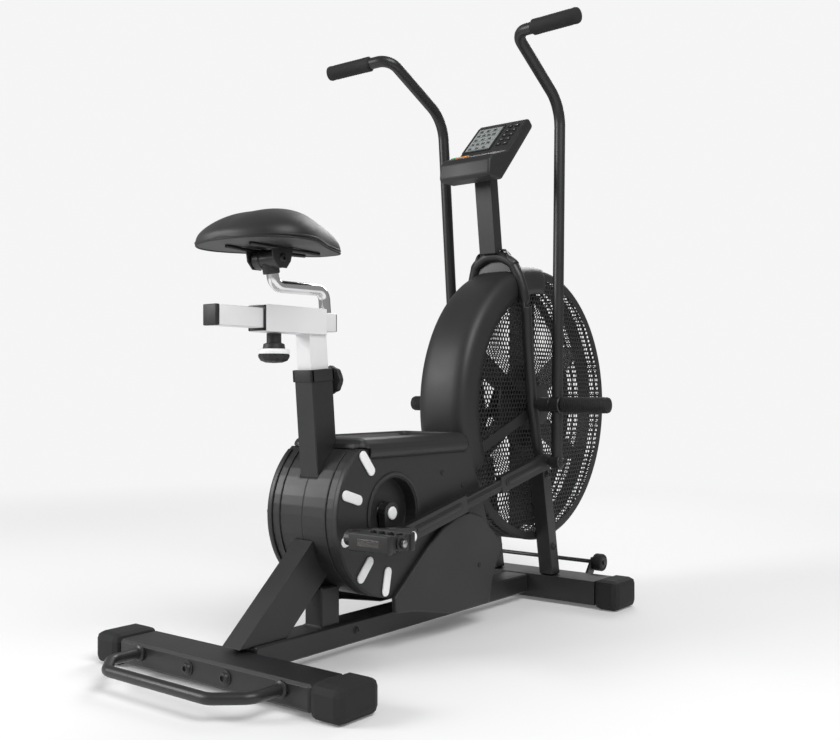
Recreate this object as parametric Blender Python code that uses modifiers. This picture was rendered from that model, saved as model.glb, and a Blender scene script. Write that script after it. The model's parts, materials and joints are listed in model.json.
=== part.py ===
"""Air bike: a fan-resistance exercise bike with moving arm levers. Metres, +Z up, +Y forwards, +X to the rider's right."""

import math

import bmesh
import bpy
from mathutils import Matrix, Vector

# Driving dimensions. Y is measured from the rear stabiliser's rear face until main() moves the bike to its own middle.
GAP = 0.0003
REAR_END, FRONT_END = -0.1075, 1.2852

CRANK_Y, CRANK_Z = 0.387, 0.263
CRANK_LENGTH = 0.166
ROD_THROW = 0.040
PEDAL_ANGLE, PIN_ANGLE = math.radians(188), math.radians(-91.65)

FAN_Y, FAN_Z = 0.970, 0.460
CAGE_RADIUS = 0.325
CAGE_HALF = 0.0545

PIVOT_Y, PIVOT_Z = 0.905, 0.462
LEVER_X, LEVER_TUBE = 0.140, 0.0125
LEVER_ARM = 0.1286
ROD_LENGTH = 0.5284

JACK_Y, JACK_Z = 0.600, 0.150
COVER_X, COVER_RADIUS = 0.088, 0.158
WALL = 0.003
SLOT_ANGLES = (129, 162, 195, 228, 259)
SLOT_INNER, SLOT_OUTER, SLOT_HALF = 0.1095, 0.1455, 0.0095

STABILISER_TOP = 0.052
BEAM_HALF, BEAM_LOW, BEAM_TOP = 0.030, 0.018, 0.060

SEAT_LEAN = math.radians(4.8)
SEAT_TUBE_FOOT = Vector((0, 0.2725, 0.369))
SLEEVE_LOW, SLEEVE_HIGH = 0.598, 0.645

COLOURS = {
    "black_paint": ((0.018, 0.018, 0.019), 0.45, 0.0),
    "black_plastic": ((0.022, 0.022, 0.023), 0.5, 0.0),
    "rubber": ((0.012, 0.012, 0.012), 0.85, 0.0),
    "perforated_steel": ((0.03, 0.03, 0.03), 0.5, 0.2),
    "silver_steel": ((0.72, 0.72, 0.72), 0.35, 0.6),
    "chrome": ((0.8, 0.8, 0.8), 0.12, 1.0),
    "saddle_vinyl": ((0.02, 0.02, 0.02), 0.6, 0.0),
    "white_plastic": ((0.85, 0.85, 0.85), 0.4, 0.0),
    "screen": ((0.55, 0.6, 0.58), 0.2, 0.0),
    "orange": ((0.9, 0.36, 0.04), 0.45, 0.0),
    "red": ((0.6, 0.05, 0.05), 0.45, 0.0),
    "green": ((0.05, 0.35, 0.12), 0.45, 0.0),
    "belt_rubber": ((0.02, 0.02, 0.02), 0.8, 0.0),
    "raw_steel": ((0.45, 0.45, 0.46), 0.35, 1.0),
}


def clear_scene():
    for obj in list(bpy.data.objects):
        bpy.data.objects.remove(obj, do_unlink=True)


def collection(name):
    made = bpy.data.collections.new(name)
    bpy.context.scene.collection.children.link(made)
    return made


clear_scene()
BIKE = collection("air_bike")
CUTTERS = collection("cutters")


def material(name):
    if name in bpy.data.materials:
        return bpy.data.materials[name]
    colour, roughness, metallic = COLOURS[name]
    made = bpy.data.materials.new(name)
    made.use_nodes = True
    shader = made.node_tree.nodes["Principled BSDF"]
    shader.inputs["Base Color"].default_value = (*colour, 1)
    shader.inputs["Roughness"].default_value = roughness
    shader.inputs["Metallic"].default_value = metallic
    return made


def place(name, data, finish, smooth=30):
    """A new object in the bike's collection."""
    obj = bpy.data.objects.new(name, data)
    BIKE.objects.link(obj)
    data.materials.append(material(finish))
    if smooth and isinstance(data, bpy.types.Mesh):
        data.shade_smooth()
        data.set_sharp_from_angle(angle=math.radians(smooth))
    return obj


def mesh_of(name, bm):
    made = bpy.data.meshes.new(name)
    bm.to_mesh(made)
    bm.free()
    return made


def bevel(obj, width, segments=1, angle=40):
    made = obj.modifiers.new("rounded", "BEVEL")
    made.width, made.segments = width, segments
    made.limit_method, made.angle_limit = "ANGLE", math.radians(angle)
    return obj


def box(name, finish, low, high, rounded=0.0):
    low, high = Vector(low), Vector(high)
    bm = bmesh.new()
    bmesh.ops.create_cube(bm, size=1)
    bmesh.ops.scale(bm, vec=high - low, verts=bm.verts)
    obj = place(name, mesh_of(name, bm), finish)
    obj.location = (low + high) / 2
    return bevel(obj, rounded) if rounded else obj


def bar(name, finish, start, end, half_x, half_y, rounded=0.0):
    """A straight rectangular bar from start to end, both on X = their own x, lying in a plane across X."""
    start, end = Vector(start), Vector(end)
    along = end - start
    bm = bmesh.new()
    bmesh.ops.create_cube(bm, size=1)
    bmesh.ops.scale(bm, vec=(2 * half_x, 2 * half_y, along.length), verts=bm.verts)
    obj = place(name, mesh_of(name, bm), finish)
    obj.location = (start + end) / 2
    obj.rotation_euler = (math.atan2(-along.y, along.z), 0, 0)
    return bevel(obj, rounded) if rounded else obj


def cylinder(name, finish, radius, start, end, sides=20):
    start, end = Vector(start), Vector(end)
    along = end - start
    bm = bmesh.new()
    bmesh.ops.create_cone(
        bm, cap_ends=True, segments=sides, radius1=radius, radius2=radius, depth=along.length
    )
    obj = place(name, mesh_of(name, bm), finish)
    obj.location = (start + end) / 2
    obj.rotation_euler = along.to_track_quat("Z", "Y").to_euler()
    return obj


def turned(name, finish, profile, centre, along="X", steps=32):
    """A closed (radius, height) profile turned about an axis through centre. Height runs along +X or +Z."""
    made = bpy.data.meshes.new(name)
    points = [(radius, 0, height) for radius, height in profile]
    edges = [(i, (i + 1) % len(points)) for i in range(len(points))]
    made.from_pydata(points, edges, [])
    obj = place(name, made, finish, smooth=0)
    screw = obj.modifiers.new("turned", "SCREW")
    screw.steps = screw.render_steps = steps
    screw.use_merge_vertices, screw.merge_threshold = True, 0.00005
    obj.location = centre
    obj.rotation_euler = {"X": (0, math.pi / 2, 0), "Y": (-math.pi / 2, 0, 0), "Z": (0, 0, 0)}[along]
    return obj


def rounded_path(corners, radii, pieces=5):
    """The corners joined by straight runs, each inner corner replaced by an arc of its radius."""
    points = [Vector(corners[0])]
    for before, corner, after, radius in zip(corners, corners[1:], corners[2:], radii):
        before, corner, after = Vector(before), Vector(corner), Vector(after)
        back, ahead = (before - corner).normalized(), (after - corner).normalized()
        half = back.angle(ahead) / 2
        reach = radius / math.tan(half)
        centre = corner + (back + ahead).normalized() * (radius / math.sin(half))
        first, last = corner + back * reach - centre, corner + ahead * reach - centre
        turn = first.rotation_difference(last)
        for step in range(pieces + 1):
            part = turn.copy()
            part.angle = turn.angle * step / pieces
            points.append(centre + part @ first)
    points.append(Vector(corners[-1]))
    return points


def pipe(name, finish, points, radius, sides=12):
    """A round bar along points, closed at both ends."""
    curve = bpy.data.curves.new(name, "CURVE")
    curve.dimensions = "3D"
    spline = curve.splines.new("POLY")
    spline.points.add(len(points) - 1)
    for target, point in zip(spline.points, points):
        target.co = (*point, 1)
    curve.bevel_depth = radius
    curve.bevel_resolution = sides // 4 - 1
    curve.use_fill_caps = True
    return solid_from_curve(name, finish, curve)


def solid_from_curve(name, finish, curve):
    """The curve's own solid as a mesh object, its caps welded."""
    guide = bpy.data.objects.new(name + "_guide", curve)
    CUTTERS.objects.link(guide)
    graph = bpy.context.evaluated_depsgraph_get()
    made = bpy.data.meshes.new_from_object(guide.evaluated_get(graph))
    bpy.data.objects.remove(guide)
    bm = bmesh.new()
    bm.from_mesh(made)
    bmesh.ops.remove_doubles(bm, verts=bm.verts, dist=0.00002)
    bmesh.ops.recalc_face_normals(bm, faces=bm.faces)
    bm.to_mesh(made)
    bm.free()
    made.materials.clear()
    return place(name, made, finish)


def plate(name, finish, outline, x_low, x_high):
    """A flat outline of (y, z) points, extruded along X from x_low to x_high."""
    curve = bpy.data.curves.new(name, "CURVE")
    curve.dimensions = "2D"
    curve.fill_mode = "BOTH"
    curve.extrude = (x_high - x_low) / 2
    spline = curve.splines.new("POLY")
    spline.points.add(len(outline) - 1)
    for target, (y, z) in zip(spline.points, outline):
        target.co = (y, z, 0, 1)
    spline.use_cyclic_u = True
    obj = solid_from_curve(name, finish, curve)
    obj.location = ((x_low + x_high) / 2, 0, 0)
    obj.rotation_euler = (math.pi / 2, 0, math.pi / 2)
    return obj


def helper(obj):
    """Marks an object as a cutter or a joined shape, so it isn't a piece of its own."""
    BIKE.objects.unlink(obj)
    CUTTERS.objects.link(obj)
    obj.hide_render = True
    obj.display_type = "WIRE"
    return obj


def combine(obj, operation, *others):
    for other in others:
        made = obj.modifiers.new(other.name, "BOOLEAN")
        made.operation = operation
        made.object = other if other.hide_render else helper(other)
    return obj


def join(obj, *others):
    return combine(obj, "UNION", *others)


def cut(obj, *others):
    return combine(obj, "DIFFERENCE", *others)


def arc(centre, radius, start, end, pieces):
    """(y, z) points along an arc, angles in degrees."""
    made = []
    for step in range(pieces + 1):
        angle = math.radians(start + (end - start) * step / pieces)
        made.append((centre[0] + radius * math.cos(angle), centre[1] + radius * math.sin(angle)))
    return made


def stadium(start, end, start_radius, end_radius, pieces=8):
    """The outline round two circles, both given as (y, z)."""
    lean = math.degrees(math.atan2(end[1] - start[1], end[0] - start[0]))
    return arc(start, start_radius, lean + 90, lean + 270, pieces) + arc(
        end, end_radius, lean - 90, lean + 90, pieces
    )


def about_crank(angle, radius):
    return Vector((0, CRANK_Y + radius * math.cos(angle), CRANK_Z + radius * math.sin(angle)))


def lever_foot(pin):
    """Where the lever's lower pivot lies, so that the rod reaches from the crank's pin to the lever's arm."""
    pivot = Vector((0, PIVOT_Y, PIVOT_Z))
    across = pivot - pin
    distance = across.length
    along = (distance**2 + ROD_LENGTH**2 - LEVER_ARM**2) / (2 * distance)
    off = math.sqrt(ROD_LENGTH**2 - along**2)
    unit = across / distance
    below = Vector((0, unit.z, -unit.y))
    return pin + unit * along + below * off


# Base

REAR_TUBE = ((-0.235, 0.006, 0.008), (0.235, 0.088, STABILISER_TOP))
FRONT_TUBE = ((-0.205, 0.958, 0.008), (0.205, 1.046, 0.062))
REAR_CAP = ((0.2353, 0.0, 0.0), (0.302, 0.094, 0.058))
FRONT_CAP = ((0.2053, 0.952, 0.0), (0.265, 1.052, 0.067))
LEG_FOOT, LEG_TOP = Vector((0, 0.080, 0.029)), Vector((0, 0.400, 0.3246))
LEG_HALF_X, LEG_HALF = 0.022, 0.0375
WHEEL_Y, WHEEL_Z = 1.086, 0.083
POST = ((-0.022, 0.258, 0.030), (0.022, 0.308, 0.134))


def end_caps(prefix, low, high):
    for side, word in ((1, "right"), (-1, "left")):
        ends = sorted((side * low[0], side * high[0]))
        cap = box(f"{prefix}_cap_{word}", "rubber", (ends[0], *low[1:]), (ends[1], *high[1:]))
        bevel(cap, 0.014, 2)


def build_base():
    box("rear_stabiliser", "black_paint", *REAR_TUBE, rounded=0.005)
    front = box("front_stabiliser", "black_paint", *FRONT_TUBE)
    join(front, *wheel_carrier())
    bevel(front, 0.003)
    end_caps("rear", *REAR_CAP)
    end_caps("front", *FRONT_CAP)
    beam = box(
        "base_beam", "black_paint",
        (-BEAM_HALF, REAR_TUBE[1][1] + GAP, BEAM_LOW), (BEAM_HALF, FRONT_TUBE[0][1] - GAP, BEAM_TOP),
    )
    join(beam, box("post_shape", "black_paint", *POST))
    bevel(beam, 0.003)
    half, back, z = 0.175, -0.098, 0.036
    root = REAR_TUBE[0][1] - GAP
    corners = [(-half, root, z), (-half, -0.055, z), (-0.125, back, z)]
    corners += [(-x, y, height) for x, y, height in reversed(corners)]
    pipe("lift_handle", "black_paint", rounded_path(corners, (0.03,) * 4, 3), 0.0095)


def build_leg_and_seat_tube():
    leg = bar("rear_leg", "black_paint", LEG_FOOT, LEG_TOP, LEG_HALF_X, LEG_HALF)
    below = box("leg_foot_cut", "rubber", (-0.1, -0.1, -0.1), (0.1, 0.5, BEAM_TOP + GAP))
    shell_room = cylinder(
        "crank_shell_room", "rubber", 0.0323, (-0.1, CRANK_Y, CRANK_Z), (0.1, CRANK_Y, CRANK_Z), 28
    )
    beyond = box("leg_top_cut", "rubber", (-0.1, CRANK_Y + 0.012, 0.0), (0.1, 0.6, 0.6))
    cut(leg, below, shell_room, beyond)
    crank_shell = ring("crank_shell_shape", "black_paint", 0.0135, 0.0335, -0.040, 0.040, CRANK_Y, CRANK_Z)
    join(leg, crank_shell)
    up = Vector((0, -math.sin(SEAT_LEAN), math.cos(SEAT_LEAN)))
    foot, top = SEAT_TUBE_FOOT - up * 0.14, SEAT_TUBE_FOOT + up * 0.164
    tube = bar("seat_tube", "black_paint", foot, top, 0.0225, 0.0275)
    bore = bar("seat_tube_bore", "rubber", SEAT_TUBE_FOOT - up * 0.02, top + up * 0.02, 0.0180, 0.0230)
    room = bar("leg_room", "rubber", LEG_FOOT, LEG_TOP, LEG_HALF_X + 0.01, LEG_HALF + GAP)
    bevel(tube, 0.0015)
    cut(tube, bore, room)
    return up


# Drive housing

COVER_OUTLINE = (
    arc((CRANK_Y, CRANK_Z), COVER_RADIUS, 127, 268, 22)
    + [(0.600, 0.082), (0.655, 0.082)]
    + arc((0.640, 0.160), 0.080, -60, 40, 5)
    + [(0.672, 0.290), (0.634, 0.372)]
)
BELT_COVER_OUTLINE = (
    [(0.380, 0.076), (0.377, 0.106), (0.426, 0.145), (0.482, 0.190)]
    + [(0.530, 0.222), (0.575, 0.238), (0.625, 0.243), (0.665, 0.232)]
    + [(0.745, 0.163), (0.712, 0.111), (0.690, 0.045), (0.560, 0.045), (0.440, 0.070)]
)
TRAY = ((-0.094, 0.2885, 0.3585), (0.094, 0.640, 0.408))


def inset(outline, distance):
    """The outline moved inwards by distance, corner by corner. It runs either way round."""
    count = len(outline)
    area = sum(
        outline[i][0] * outline[(i + 1) % count][1] - outline[(i + 1) % count][0] * outline[i][1]
        for i in range(count)
    )
    inward = 1 if area > 0 else -1
    made = []
    for i, corner in enumerate(outline):
        corner = Vector(corner)
        back = (corner - Vector(outline[i - 1])).normalized()
        ahead = (Vector(outline[(i + 1) % count]) - corner).normalized()
        normal = Vector((-back.y - ahead.y, back.x + ahead.x)).normalized() * inward
        share = max(0.5, normal.dot(Vector((-back.y, back.x)) * inward))
        made.append(tuple(corner + normal * distance / share))
    return made


def shell(name, finish, outline, x_inner, x_outer, edge=0.0):
    """A tray-like shell: the outline's face at x_outer with a wall back to x_inner, open on its inner side."""
    side = 1 if x_outer > x_inner else -1
    obj = plate(name, finish, outline, *sorted((x_inner, x_outer)))
    if edge:
        bevel(obj, edge, 2, 60)
    hollow = plate(
        name + "_hollow", "rubber", inset(outline, WALL), *sorted((x_inner - side * 0.01, x_outer - side * WALL))
    )
    return cut(obj, hollow)


def slot_inserts(side, word):
    """A thin ring that carries five raised pale lozenges round the cover's rear half."""
    ends = sorted((side * (COVER_X + GAP), side * (COVER_X + 0.0012)))
    inserts = ring(f"slot_inserts_{word}", "white_plastic", 0.0985, 0.1035, *ends, CRANK_Y, CRANK_Z, 48)
    for degrees in SLOT_ANGLES:
        angle = math.radians(degrees)
        near, far = about_crank(angle, SLOT_INNER), about_crank(angle, SLOT_OUTER)
        outline = stadium(near.yz, far.yz, SLOT_HALF, SLOT_HALF, 6)
        lozenge = plate(
            f"{word}_slot_{degrees}", "white_plastic", outline, *sorted((side * (COVER_X + GAP), side * 0.0915))
        )
        join(inserts, lozenge)


def build_covers():
    leg_room = bar("leg_notch", "rubber", LEG_FOOT, LEG_TOP, LEG_HALF_X + GAP, LEG_HALF + GAP)
    up = Vector((0, -math.sin(SEAT_LEAN), math.cos(SEAT_LEAN)))
    tube_room = bar(
        "seat_tube_notch", "rubber", SEAT_TUBE_FOOT - up * 0.15, SEAT_TUBE_FOOT + up * 0.2,
        0.0225 + GAP, 0.0275 + GAP,
    )
    low, high = Vector(POST[0]), Vector(POST[1])
    clear = Vector((GAP, GAP, GAP))
    post_room = box("post_notch", "rubber", low - clear, high + clear)
    belt_room = bar(
        "belt_notch", "rubber", (-0.046, JACK_Y, JACK_Z), (-0.046, FAN_Y, FAN_Z), 0.009, 0.062
    )
    for side, word in ((1, "right"), (-1, "left")):
        cover = shell(f"{word}_drive_cover", "black_plastic", COVER_OUTLINE, side * GAP, side * COVER_X)
        mouth = cylinder(
            f"{word}_mouth", "rubber", 0.0695, (side * 0.05, CRANK_Y, CRANK_Z), (side * 0.1, CRANK_Y, CRANK_Z), 32
        )
        depth, floor = COVER_X - 0.0005, 0.058
        profile = [(0.071, depth), (0.071, floor), (0.020, floor), (0.020, floor + WALL),
                   (0.068, floor + WALL), (0.068, depth)]
        profile = [(radius, side * height) for radius, height in profile]
        cup = turned(
            f"{word}_cup", "black_plastic", profile if side > 0 else profile[::-1], (0, CRANK_Y, CRANK_Z)
        )
        fork_room = fork_bar(f"{word}_fork_notch", side, 0.0008)
        cut(cover, mouth, leg_room, tube_room, post_room, fork_room)
        if side < 0:
            cut(cover, belt_room)
        join(cover, cup)
        shell(
            f"{word}_belt_cover", "black_plastic", BELT_COVER_OUTLINE,
            side * (COVER_X + GAP), side * 0.0995, 0.003,
        )
    for side, word in ((1, "right"), (-1, "left")):
        slot_inserts(side, word)
    tray = box("tray_cover", "black_plastic", *TRAY)
    dish = box("tray_dish", "rubber", (-0.070, 0.335, 0.394), (0.070, 0.612, 0.440))
    bevel(dish, 0.03, 3)
    hollow = box(
        "tray_hollow", "rubber",
        (TRAY[0][0] + WALL, TRAY[0][1] + WALL, 0.30), (TRAY[1][0] - WALL, TRAY[1][1] - WALL, 0.391),
    )
    bevel(tray, 0.022, 3)
    insert_room = box("tray_insert_room", "rubber", (-0.2, 0.28, 0.30), (0.2, 0.314, 0.3895))
    cut(tray, hollow, dish, tube_room, insert_room)


def fork_bar(name, side, spare=0.0):
    """The flat bar that carries the fan's axle, from inside the housing to a round eye at the fan."""
    outline = stadium((0.500, 0.287), (FAN_Y, FAN_Z), 0.012 + spare, 0.012 + spare)
    ends = sorted((side * (0.0556 - spare / 4), side * (0.0594 + spare)))
    return plate(name, "black_paint", outline, *ends)


def build_fork():
    for side, word in ((1, "right"), (-1, "left")):
        made = fork_bar(f"fork_bar_{word}", side)
        eye = cylinder(f"{word}_axle_eye", "rubber", 0.0083, (side * 0.05, FAN_Y, FAN_Z), (side * 0.07, FAN_Y, FAN_Z))
        cut(made, eye)


# Crank, belts and fan


def ring(name, finish, inner, outer, x_low, x_high, y, z, steps=32):
    profile = [(outer, x_high), (outer, x_low), (inner, x_low), (inner, x_high)]
    return turned(name, finish, profile, (0, y, z), steps=steps)


def build_crank():
    crank = (CRANK_Y, CRANK_Z)
    cylinder("crank_axle", "raw_steel", 0.0125, (-0.080, *crank), (0.080, *crank), 24)
    ring("crank_pulley", "raw_steel", 0.0128, 0.112, 0.0425, 0.0535, *crank, steps=40)
    for side, word, turn in ((1, "right", 0.0), (-1, "left", math.pi)):
        pin, pedal = about_crank(PIN_ANGLE + turn, ROD_THROW), about_crank(PEDAL_ANGLE + turn, CRANK_LENGTH)
        inner_x = sorted((side * 0.066, side * 0.082))
        outer_x = sorted((side * 0.1200, side * 0.1330))
        arm = plate(f"crank_arm_{word}", "black_paint", stadium(crank, pin.yz, 0.021, 0.016), *inner_x)
        outer = plate(
            f"{word}_outer_arm", "black_paint", stadium(pin.yz, pedal.yz, 0.017, 0.014), *outer_x
        )
        rod_pin = cylinder(
            f"{word}_rod_pin", "raw_steel", 0.0100, (side * 0.080, *pin.yz), (side * 0.125, *pin.yz), 24
        )
        spindle = cylinder(
            f"{word}_spindle", "raw_steel", 0.0075, (side * 0.130, *pedal.yz), (side * 0.243, *pedal.yz), 16
        )
        bore = cylinder(f"{word}_axle_bore", "rubber", 0.0128, (side * 0.05, *crank), (side * 0.081, *crank), 24)
        join(arm, rod_pin, outer, spindle)
        cut(arm, bore)
        body = box(
            f"pedal_{word}", "black_plastic",
            (min(side * 0.150, side * 0.240), pedal.y - 0.036, pedal.z - 0.016),
            (max(side * 0.150, side * 0.240), pedal.y + 0.036, pedal.z + 0.016),
        )
        bevel(body, 0.005)
        cut(body, cylinder(
            f"{word}_pedal_bore", "rubber", 0.0079, (side * 0.14, *pedal.yz), (side * 0.25, *pedal.yz), 16
        ))


def belt(name, first, first_radius, second, second_radius, x_low, x_high, thickness=0.0035):
    """An open belt round two pulleys, lying clear of both by GAP."""
    y, z = second[0] - first[0], second[1] - first[1]
    distance, lean = math.hypot(y, z), math.degrees(math.atan2(z, y))
    spread = math.degrees(math.acos((first_radius - second_radius) / distance))

    def loop(extra):
        return arc(first, first_radius + extra, lean + spread, lean + 360 - spread, 20) + arc(
            second, second_radius + extra, lean - spread, lean + spread, 10
        )

    made = plate(name, "belt_rubber", loop(2 * GAP + thickness), x_low, x_high)
    inside = plate(name + "_inside", "rubber", loop(2 * GAP), x_low - 0.01, x_high + 0.01)
    return cut(made, inside)


def build_drive():
    jack, fan = (JACK_Y, JACK_Z), (FAN_Y, FAN_Z)
    shaft = cylinder("jack_shaft", "raw_steel", 0.010, (-0.078, *jack), (0.072, *jack), 16)
    join(
        shaft,
        cylinder("jack_small_pulley", "raw_steel", 0.030, (0.0425, *jack), (0.0535, *jack), 24),
        cylinder("jack_large_pulley", "raw_steel", 0.052, (-0.0505, *jack), (-0.0415, *jack), 32),
    )
    belt("first_belt", (CRANK_Y, CRANK_Z), 0.112, jack, 0.030, 0.0435, 0.0525)
    belt("second_belt", jack, 0.052, fan, 0.030, -0.0498, -0.0422)
    cylinder("fan_axle", "raw_steel", 0.0080, (-0.066, *fan), (0.066, *fan), 16)
    wheel = cylinder("fan_wheel", "black_paint", 0.030, (-0.0505, *fan), (0.034, *fan), 24)
    join(wheel, cylinder("fan_disc", "black_paint", 0.095, (0.001, *fan), (0.005, *fan), 32))
    for blade in range(6):
        angle = math.radians(90 + 60 * blade)
        out = Vector((0, math.cos(angle), math.sin(angle)))
        middle = Vector((0.005, *fan))
        paddle = bar(f"blade_{blade}", "black_paint", middle + out * 0.055, middle + out * 0.285, 0.034, 0.0016)
        join(wheel, paddle)
    cut(wheel, cylinder("hub_bore", "rubber", 0.0084, (-0.07, *fan), (0.07, *fan), 16))


def build_cage():
    fan = (FAN_Y, FAN_Z)
    for side, word in ((1, "right"), (-1, "left")):
        ends = sorted((side * 0.0520, side * CAGE_HALF))
        panel = ring(f"cage_panel_{word}", "perforated_steel", 0.014, 0.312, *ends, *fan, steps=56)
        cut(panel, hoop(f"{word}_hoop_notch", "rubber", HOOP_RADIUS + GAP))
    rim = band("cage_rim", "perforated_steel", [(0.3155, 0.0500), (0.3155, -0.0500)], -152.5, 240, 44)
    flange, shoulder, crown, half = 0.262, 0.314, CAGE_RADIUS, 0.0640
    side_profile = [(flange, half - 0.003), (0.290, half), (shoulder, half - 0.003), (crown, 0.048)]
    profile = side_profile + [(radius, -x) for radius, x in reversed(side_profile)]
    shroud = band("fan_shroud", "black_plastic", profile, 88, 119, 22)
    slot = bar("shroud_belt_slot", "rubber", (-0.046, JACK_Y, JACK_Z), (-0.046, FAN_Y, FAN_Z), 0.0065, 0.062)
    forks = [fork_bar(f"shroud_{word}_slot", side, 0.0008) for side, word in ((1, "right"), (-1, "left"))]
    cut(shroud, slot, hoop("shroud_hoop_notch", "rubber", HOOP_RADIUS + GAP), *forks)
    cut(rim, slot)


def band(name, finish, profile, start, sweep, steps):
    """An open (radius, x) profile swept about the fan's axis, then given a wall. Degrees from +Y towards +Z."""
    bm = bmesh.new()
    rows = []
    for step in range(steps + 1):
        angle = math.radians(start + sweep * step / steps)
        rows.append([
            bm.verts.new((x, FAN_Y + radius * math.cos(angle), FAN_Z + radius * math.sin(angle)))
            for radius, x in profile
        ])
    for near, far in zip(rows, rows[1:]):
        for i in range(len(profile) - 1):
            bm.faces.new((near[i], near[i + 1], far[i + 1], far[i]))
    bmesh.ops.recalc_face_normals(bm, faces=bm.faces)
    middle = bm.faces[len(profile) // 2 - 1]
    outward = middle.calc_center_median() - Vector((0, FAN_Y, FAN_Z))
    if middle.normal.dot(outward) < 0:
        bmesh.ops.reverse_faces(bm, faces=bm.faces)
    obj = place(name, mesh_of(name, bm), finish)
    thick = obj.modifiers.new("wall", "SOLIDIFY")
    thick.thickness, thick.offset, thick.use_even_offset = 0.0022, -1, True
    return obj


# Front frame, levers and rods

HOOP_SIDE = [(0.0775, 0.9285, 0.3380), (0.0728, 0.907, 0.460), (0.0740, 0.886, 0.600)]
HOOP_SIDE += [(0.0755, 0.877, 0.680), (0.0735, 0.869, 0.742), (0.0500, 0.861, 0.786), (0.0180, 0.857, 0.803)]
HOOP_RADIUS = 0.0125


def hoop(name, finish, radius):
    path = HOOP_SIDE + [(-x, y, z) for x, y, z in reversed(HOOP_SIDE)]
    return pipe(name, finish, path, radius)


def build_front_frame():
    outline = [(0.962, 0.0625), (0.995, 0.0625), (0.945, 0.335), (0.912, 0.335)]
    for side, word in ((1, "right"), (-1, "left")):
        ends = sorted((side * 0.060, side * 0.095))
        bevel(plate(f"front_column_{word}", "black_paint", outline, *ends), 0.003)
    hoop("hoop_tube", "black_paint", HOOP_RADIUS)
    mast = bar("console_mast", "black_paint", (0, 0.8490, 0.790), (0, 0.8215, 1.0055), 0.0215, 0.015)
    hoop_room = cylinder("hoop_room", "rubber", 0.0132, (-0.03, 0.857, 0.803), (0.03, 0.857, 0.803), 24)
    under = box("mast_foot_cut", "rubber", (-0.1, 0.8, 0.7), (0.1, 0.9, 0.807))
    # the console's underside, lowered by a small gap, trims the mast's head
    drop = 0.0006
    above = [(0.700, 0.962 - drop), (0.790, 0.962 - drop), (0.838, 1.014 - drop), (0.922, 1.106 - drop)]
    above += [(0.922, 1.150), (0.700, 1.150)]
    console_room = plate("mast_head_cut", "rubber", above, -0.1, 0.1)
    cut(mast, hoop_room, under, console_room)
    bevel(mast, 0.003)


def build_levers_and_rods():
    grip_start, grip_end = 0.048, 0.163
    for side, word, turn in ((1, "right", 0.0), (-1, "left", math.pi)):
        pin = about_crank(PIN_ANGLE + turn, ROD_THROW)
        foot = lever_foot(pin)
        pivot = Vector((side * LEVER_X, PIVOT_Y, PIVOT_Z))
        lean = math.atan2(foot.y - PIVOT_Y, PIVOT_Z - foot.z)
        corners = [(0, 0, -LEVER_ARM), (0, 0, 0.678), (0, -0.190, 0.790), (side * grip_start, -0.197, 0.788)]
        path = rounded_path(corners, (0.085, 0.034), 6)
        lever = pipe(f"lever_{word}", "black_paint", path, LEVER_TUBE)
        grip = cylinder(
            f"grip_{word}", "rubber", 0.0165, (side * (grip_start + GAP), -0.197, 0.788),
            (side * grip_end, -0.211, 0.784), 16,
        )
        bevel(grip, 0.004, 2)
        pose = Matrix.Translation(pivot) @ Matrix.Rotation(lean, 4, "X")
        lever.matrix_world = pose @ lever.matrix_world
        grip.matrix_world = pose @ Matrix.LocRotScale(grip.location, grip.rotation_euler, None)
        x_low, x_high = sorted((side * (LEVER_X - 0.0125), side * (LEVER_X + 0.0125)))
        hub = cylinder(f"{word}_lever_hub", "black_paint", 0.0200, (x_low, *pivot.yz), (x_high, *pivot.yz), 24)
        eye = cylinder(f"{word}_lever_eye", "black_paint", 0.0155, (x_low, *foot.yz), (x_high, *foot.yz), 24)
        bore = cylinder(f"{word}_hub_bore", "rubber", 0.0112, (x_low - 0.01, *pivot.yz), (x_high + 0.01, *pivot.yz), 24)
        join(lever, hub, eye)
        cut(lever, bore)
        foot_peg(side, word)
        connecting_rod(side, word, pin, foot)


def foot_peg(side, word):
    """The fixed peg that the lever turns on: a thin journal, then a wide ribbed sleeve for a resting foot."""
    profile = [(0.0, 0.0862), (0.0108, 0.0862), (0.0108, 0.1540), (0.0180, 0.1545), (0.0180, 0.268),
               (0.0150, 0.272), (0.0, 0.272)]
    profile = [(radius, side * x) for radius, x in profile]
    turned(f"foot_peg_{word}", "rubber", profile[::-1] if side > 0 else profile, (0, PIVOT_Y, PIVOT_Z), steps=24)


def connecting_rod(side, word, pin, foot):
    along = (foot - pin).normalized()
    x = side * 0.110
    ends = sorted((side * 0.103, side * 0.117))

    def at(distance):
        return Vector((x, *(pin + along * distance).yz))

    rod = bar(f"rod_{word}", "black_paint", at(0.004), at(ROD_LENGTH - 0.004), 0.0055, 0.012)
    rear = bar(f"{word}_rod_rear", "black_paint", at(0.0), at(0.205), 0.007, 0.0175)
    front = bar(f"{word}_rod_front", "black_paint", at(0.335), at(ROD_LENGTH), 0.007, 0.0175)
    rear_eye = cylinder(f"{word}_rear_eye", "black_paint", 0.0175, (ends[0], *pin.yz), (ends[1], *pin.yz), 24)
    front_eye = cylinder(f"{word}_front_eye", "black_paint", 0.0175, (ends[0], *foot.yz), (ends[1], *foot.yz), 24)
    stub = cylinder(f"{word}_front_stub", "raw_steel", 0.008, (side * 0.11, *foot.yz), (side * 0.1265, *foot.yz), 16)
    bore = cylinder(f"{word}_rod_bore", "rubber", 0.0104, (side * 0.09, *pin.yz), (side * 0.13, *pin.yz), 24)
    join(rod, rear, front, rear_eye, front_eye, stub)
    cut(rod, bore)


# Seat

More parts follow.
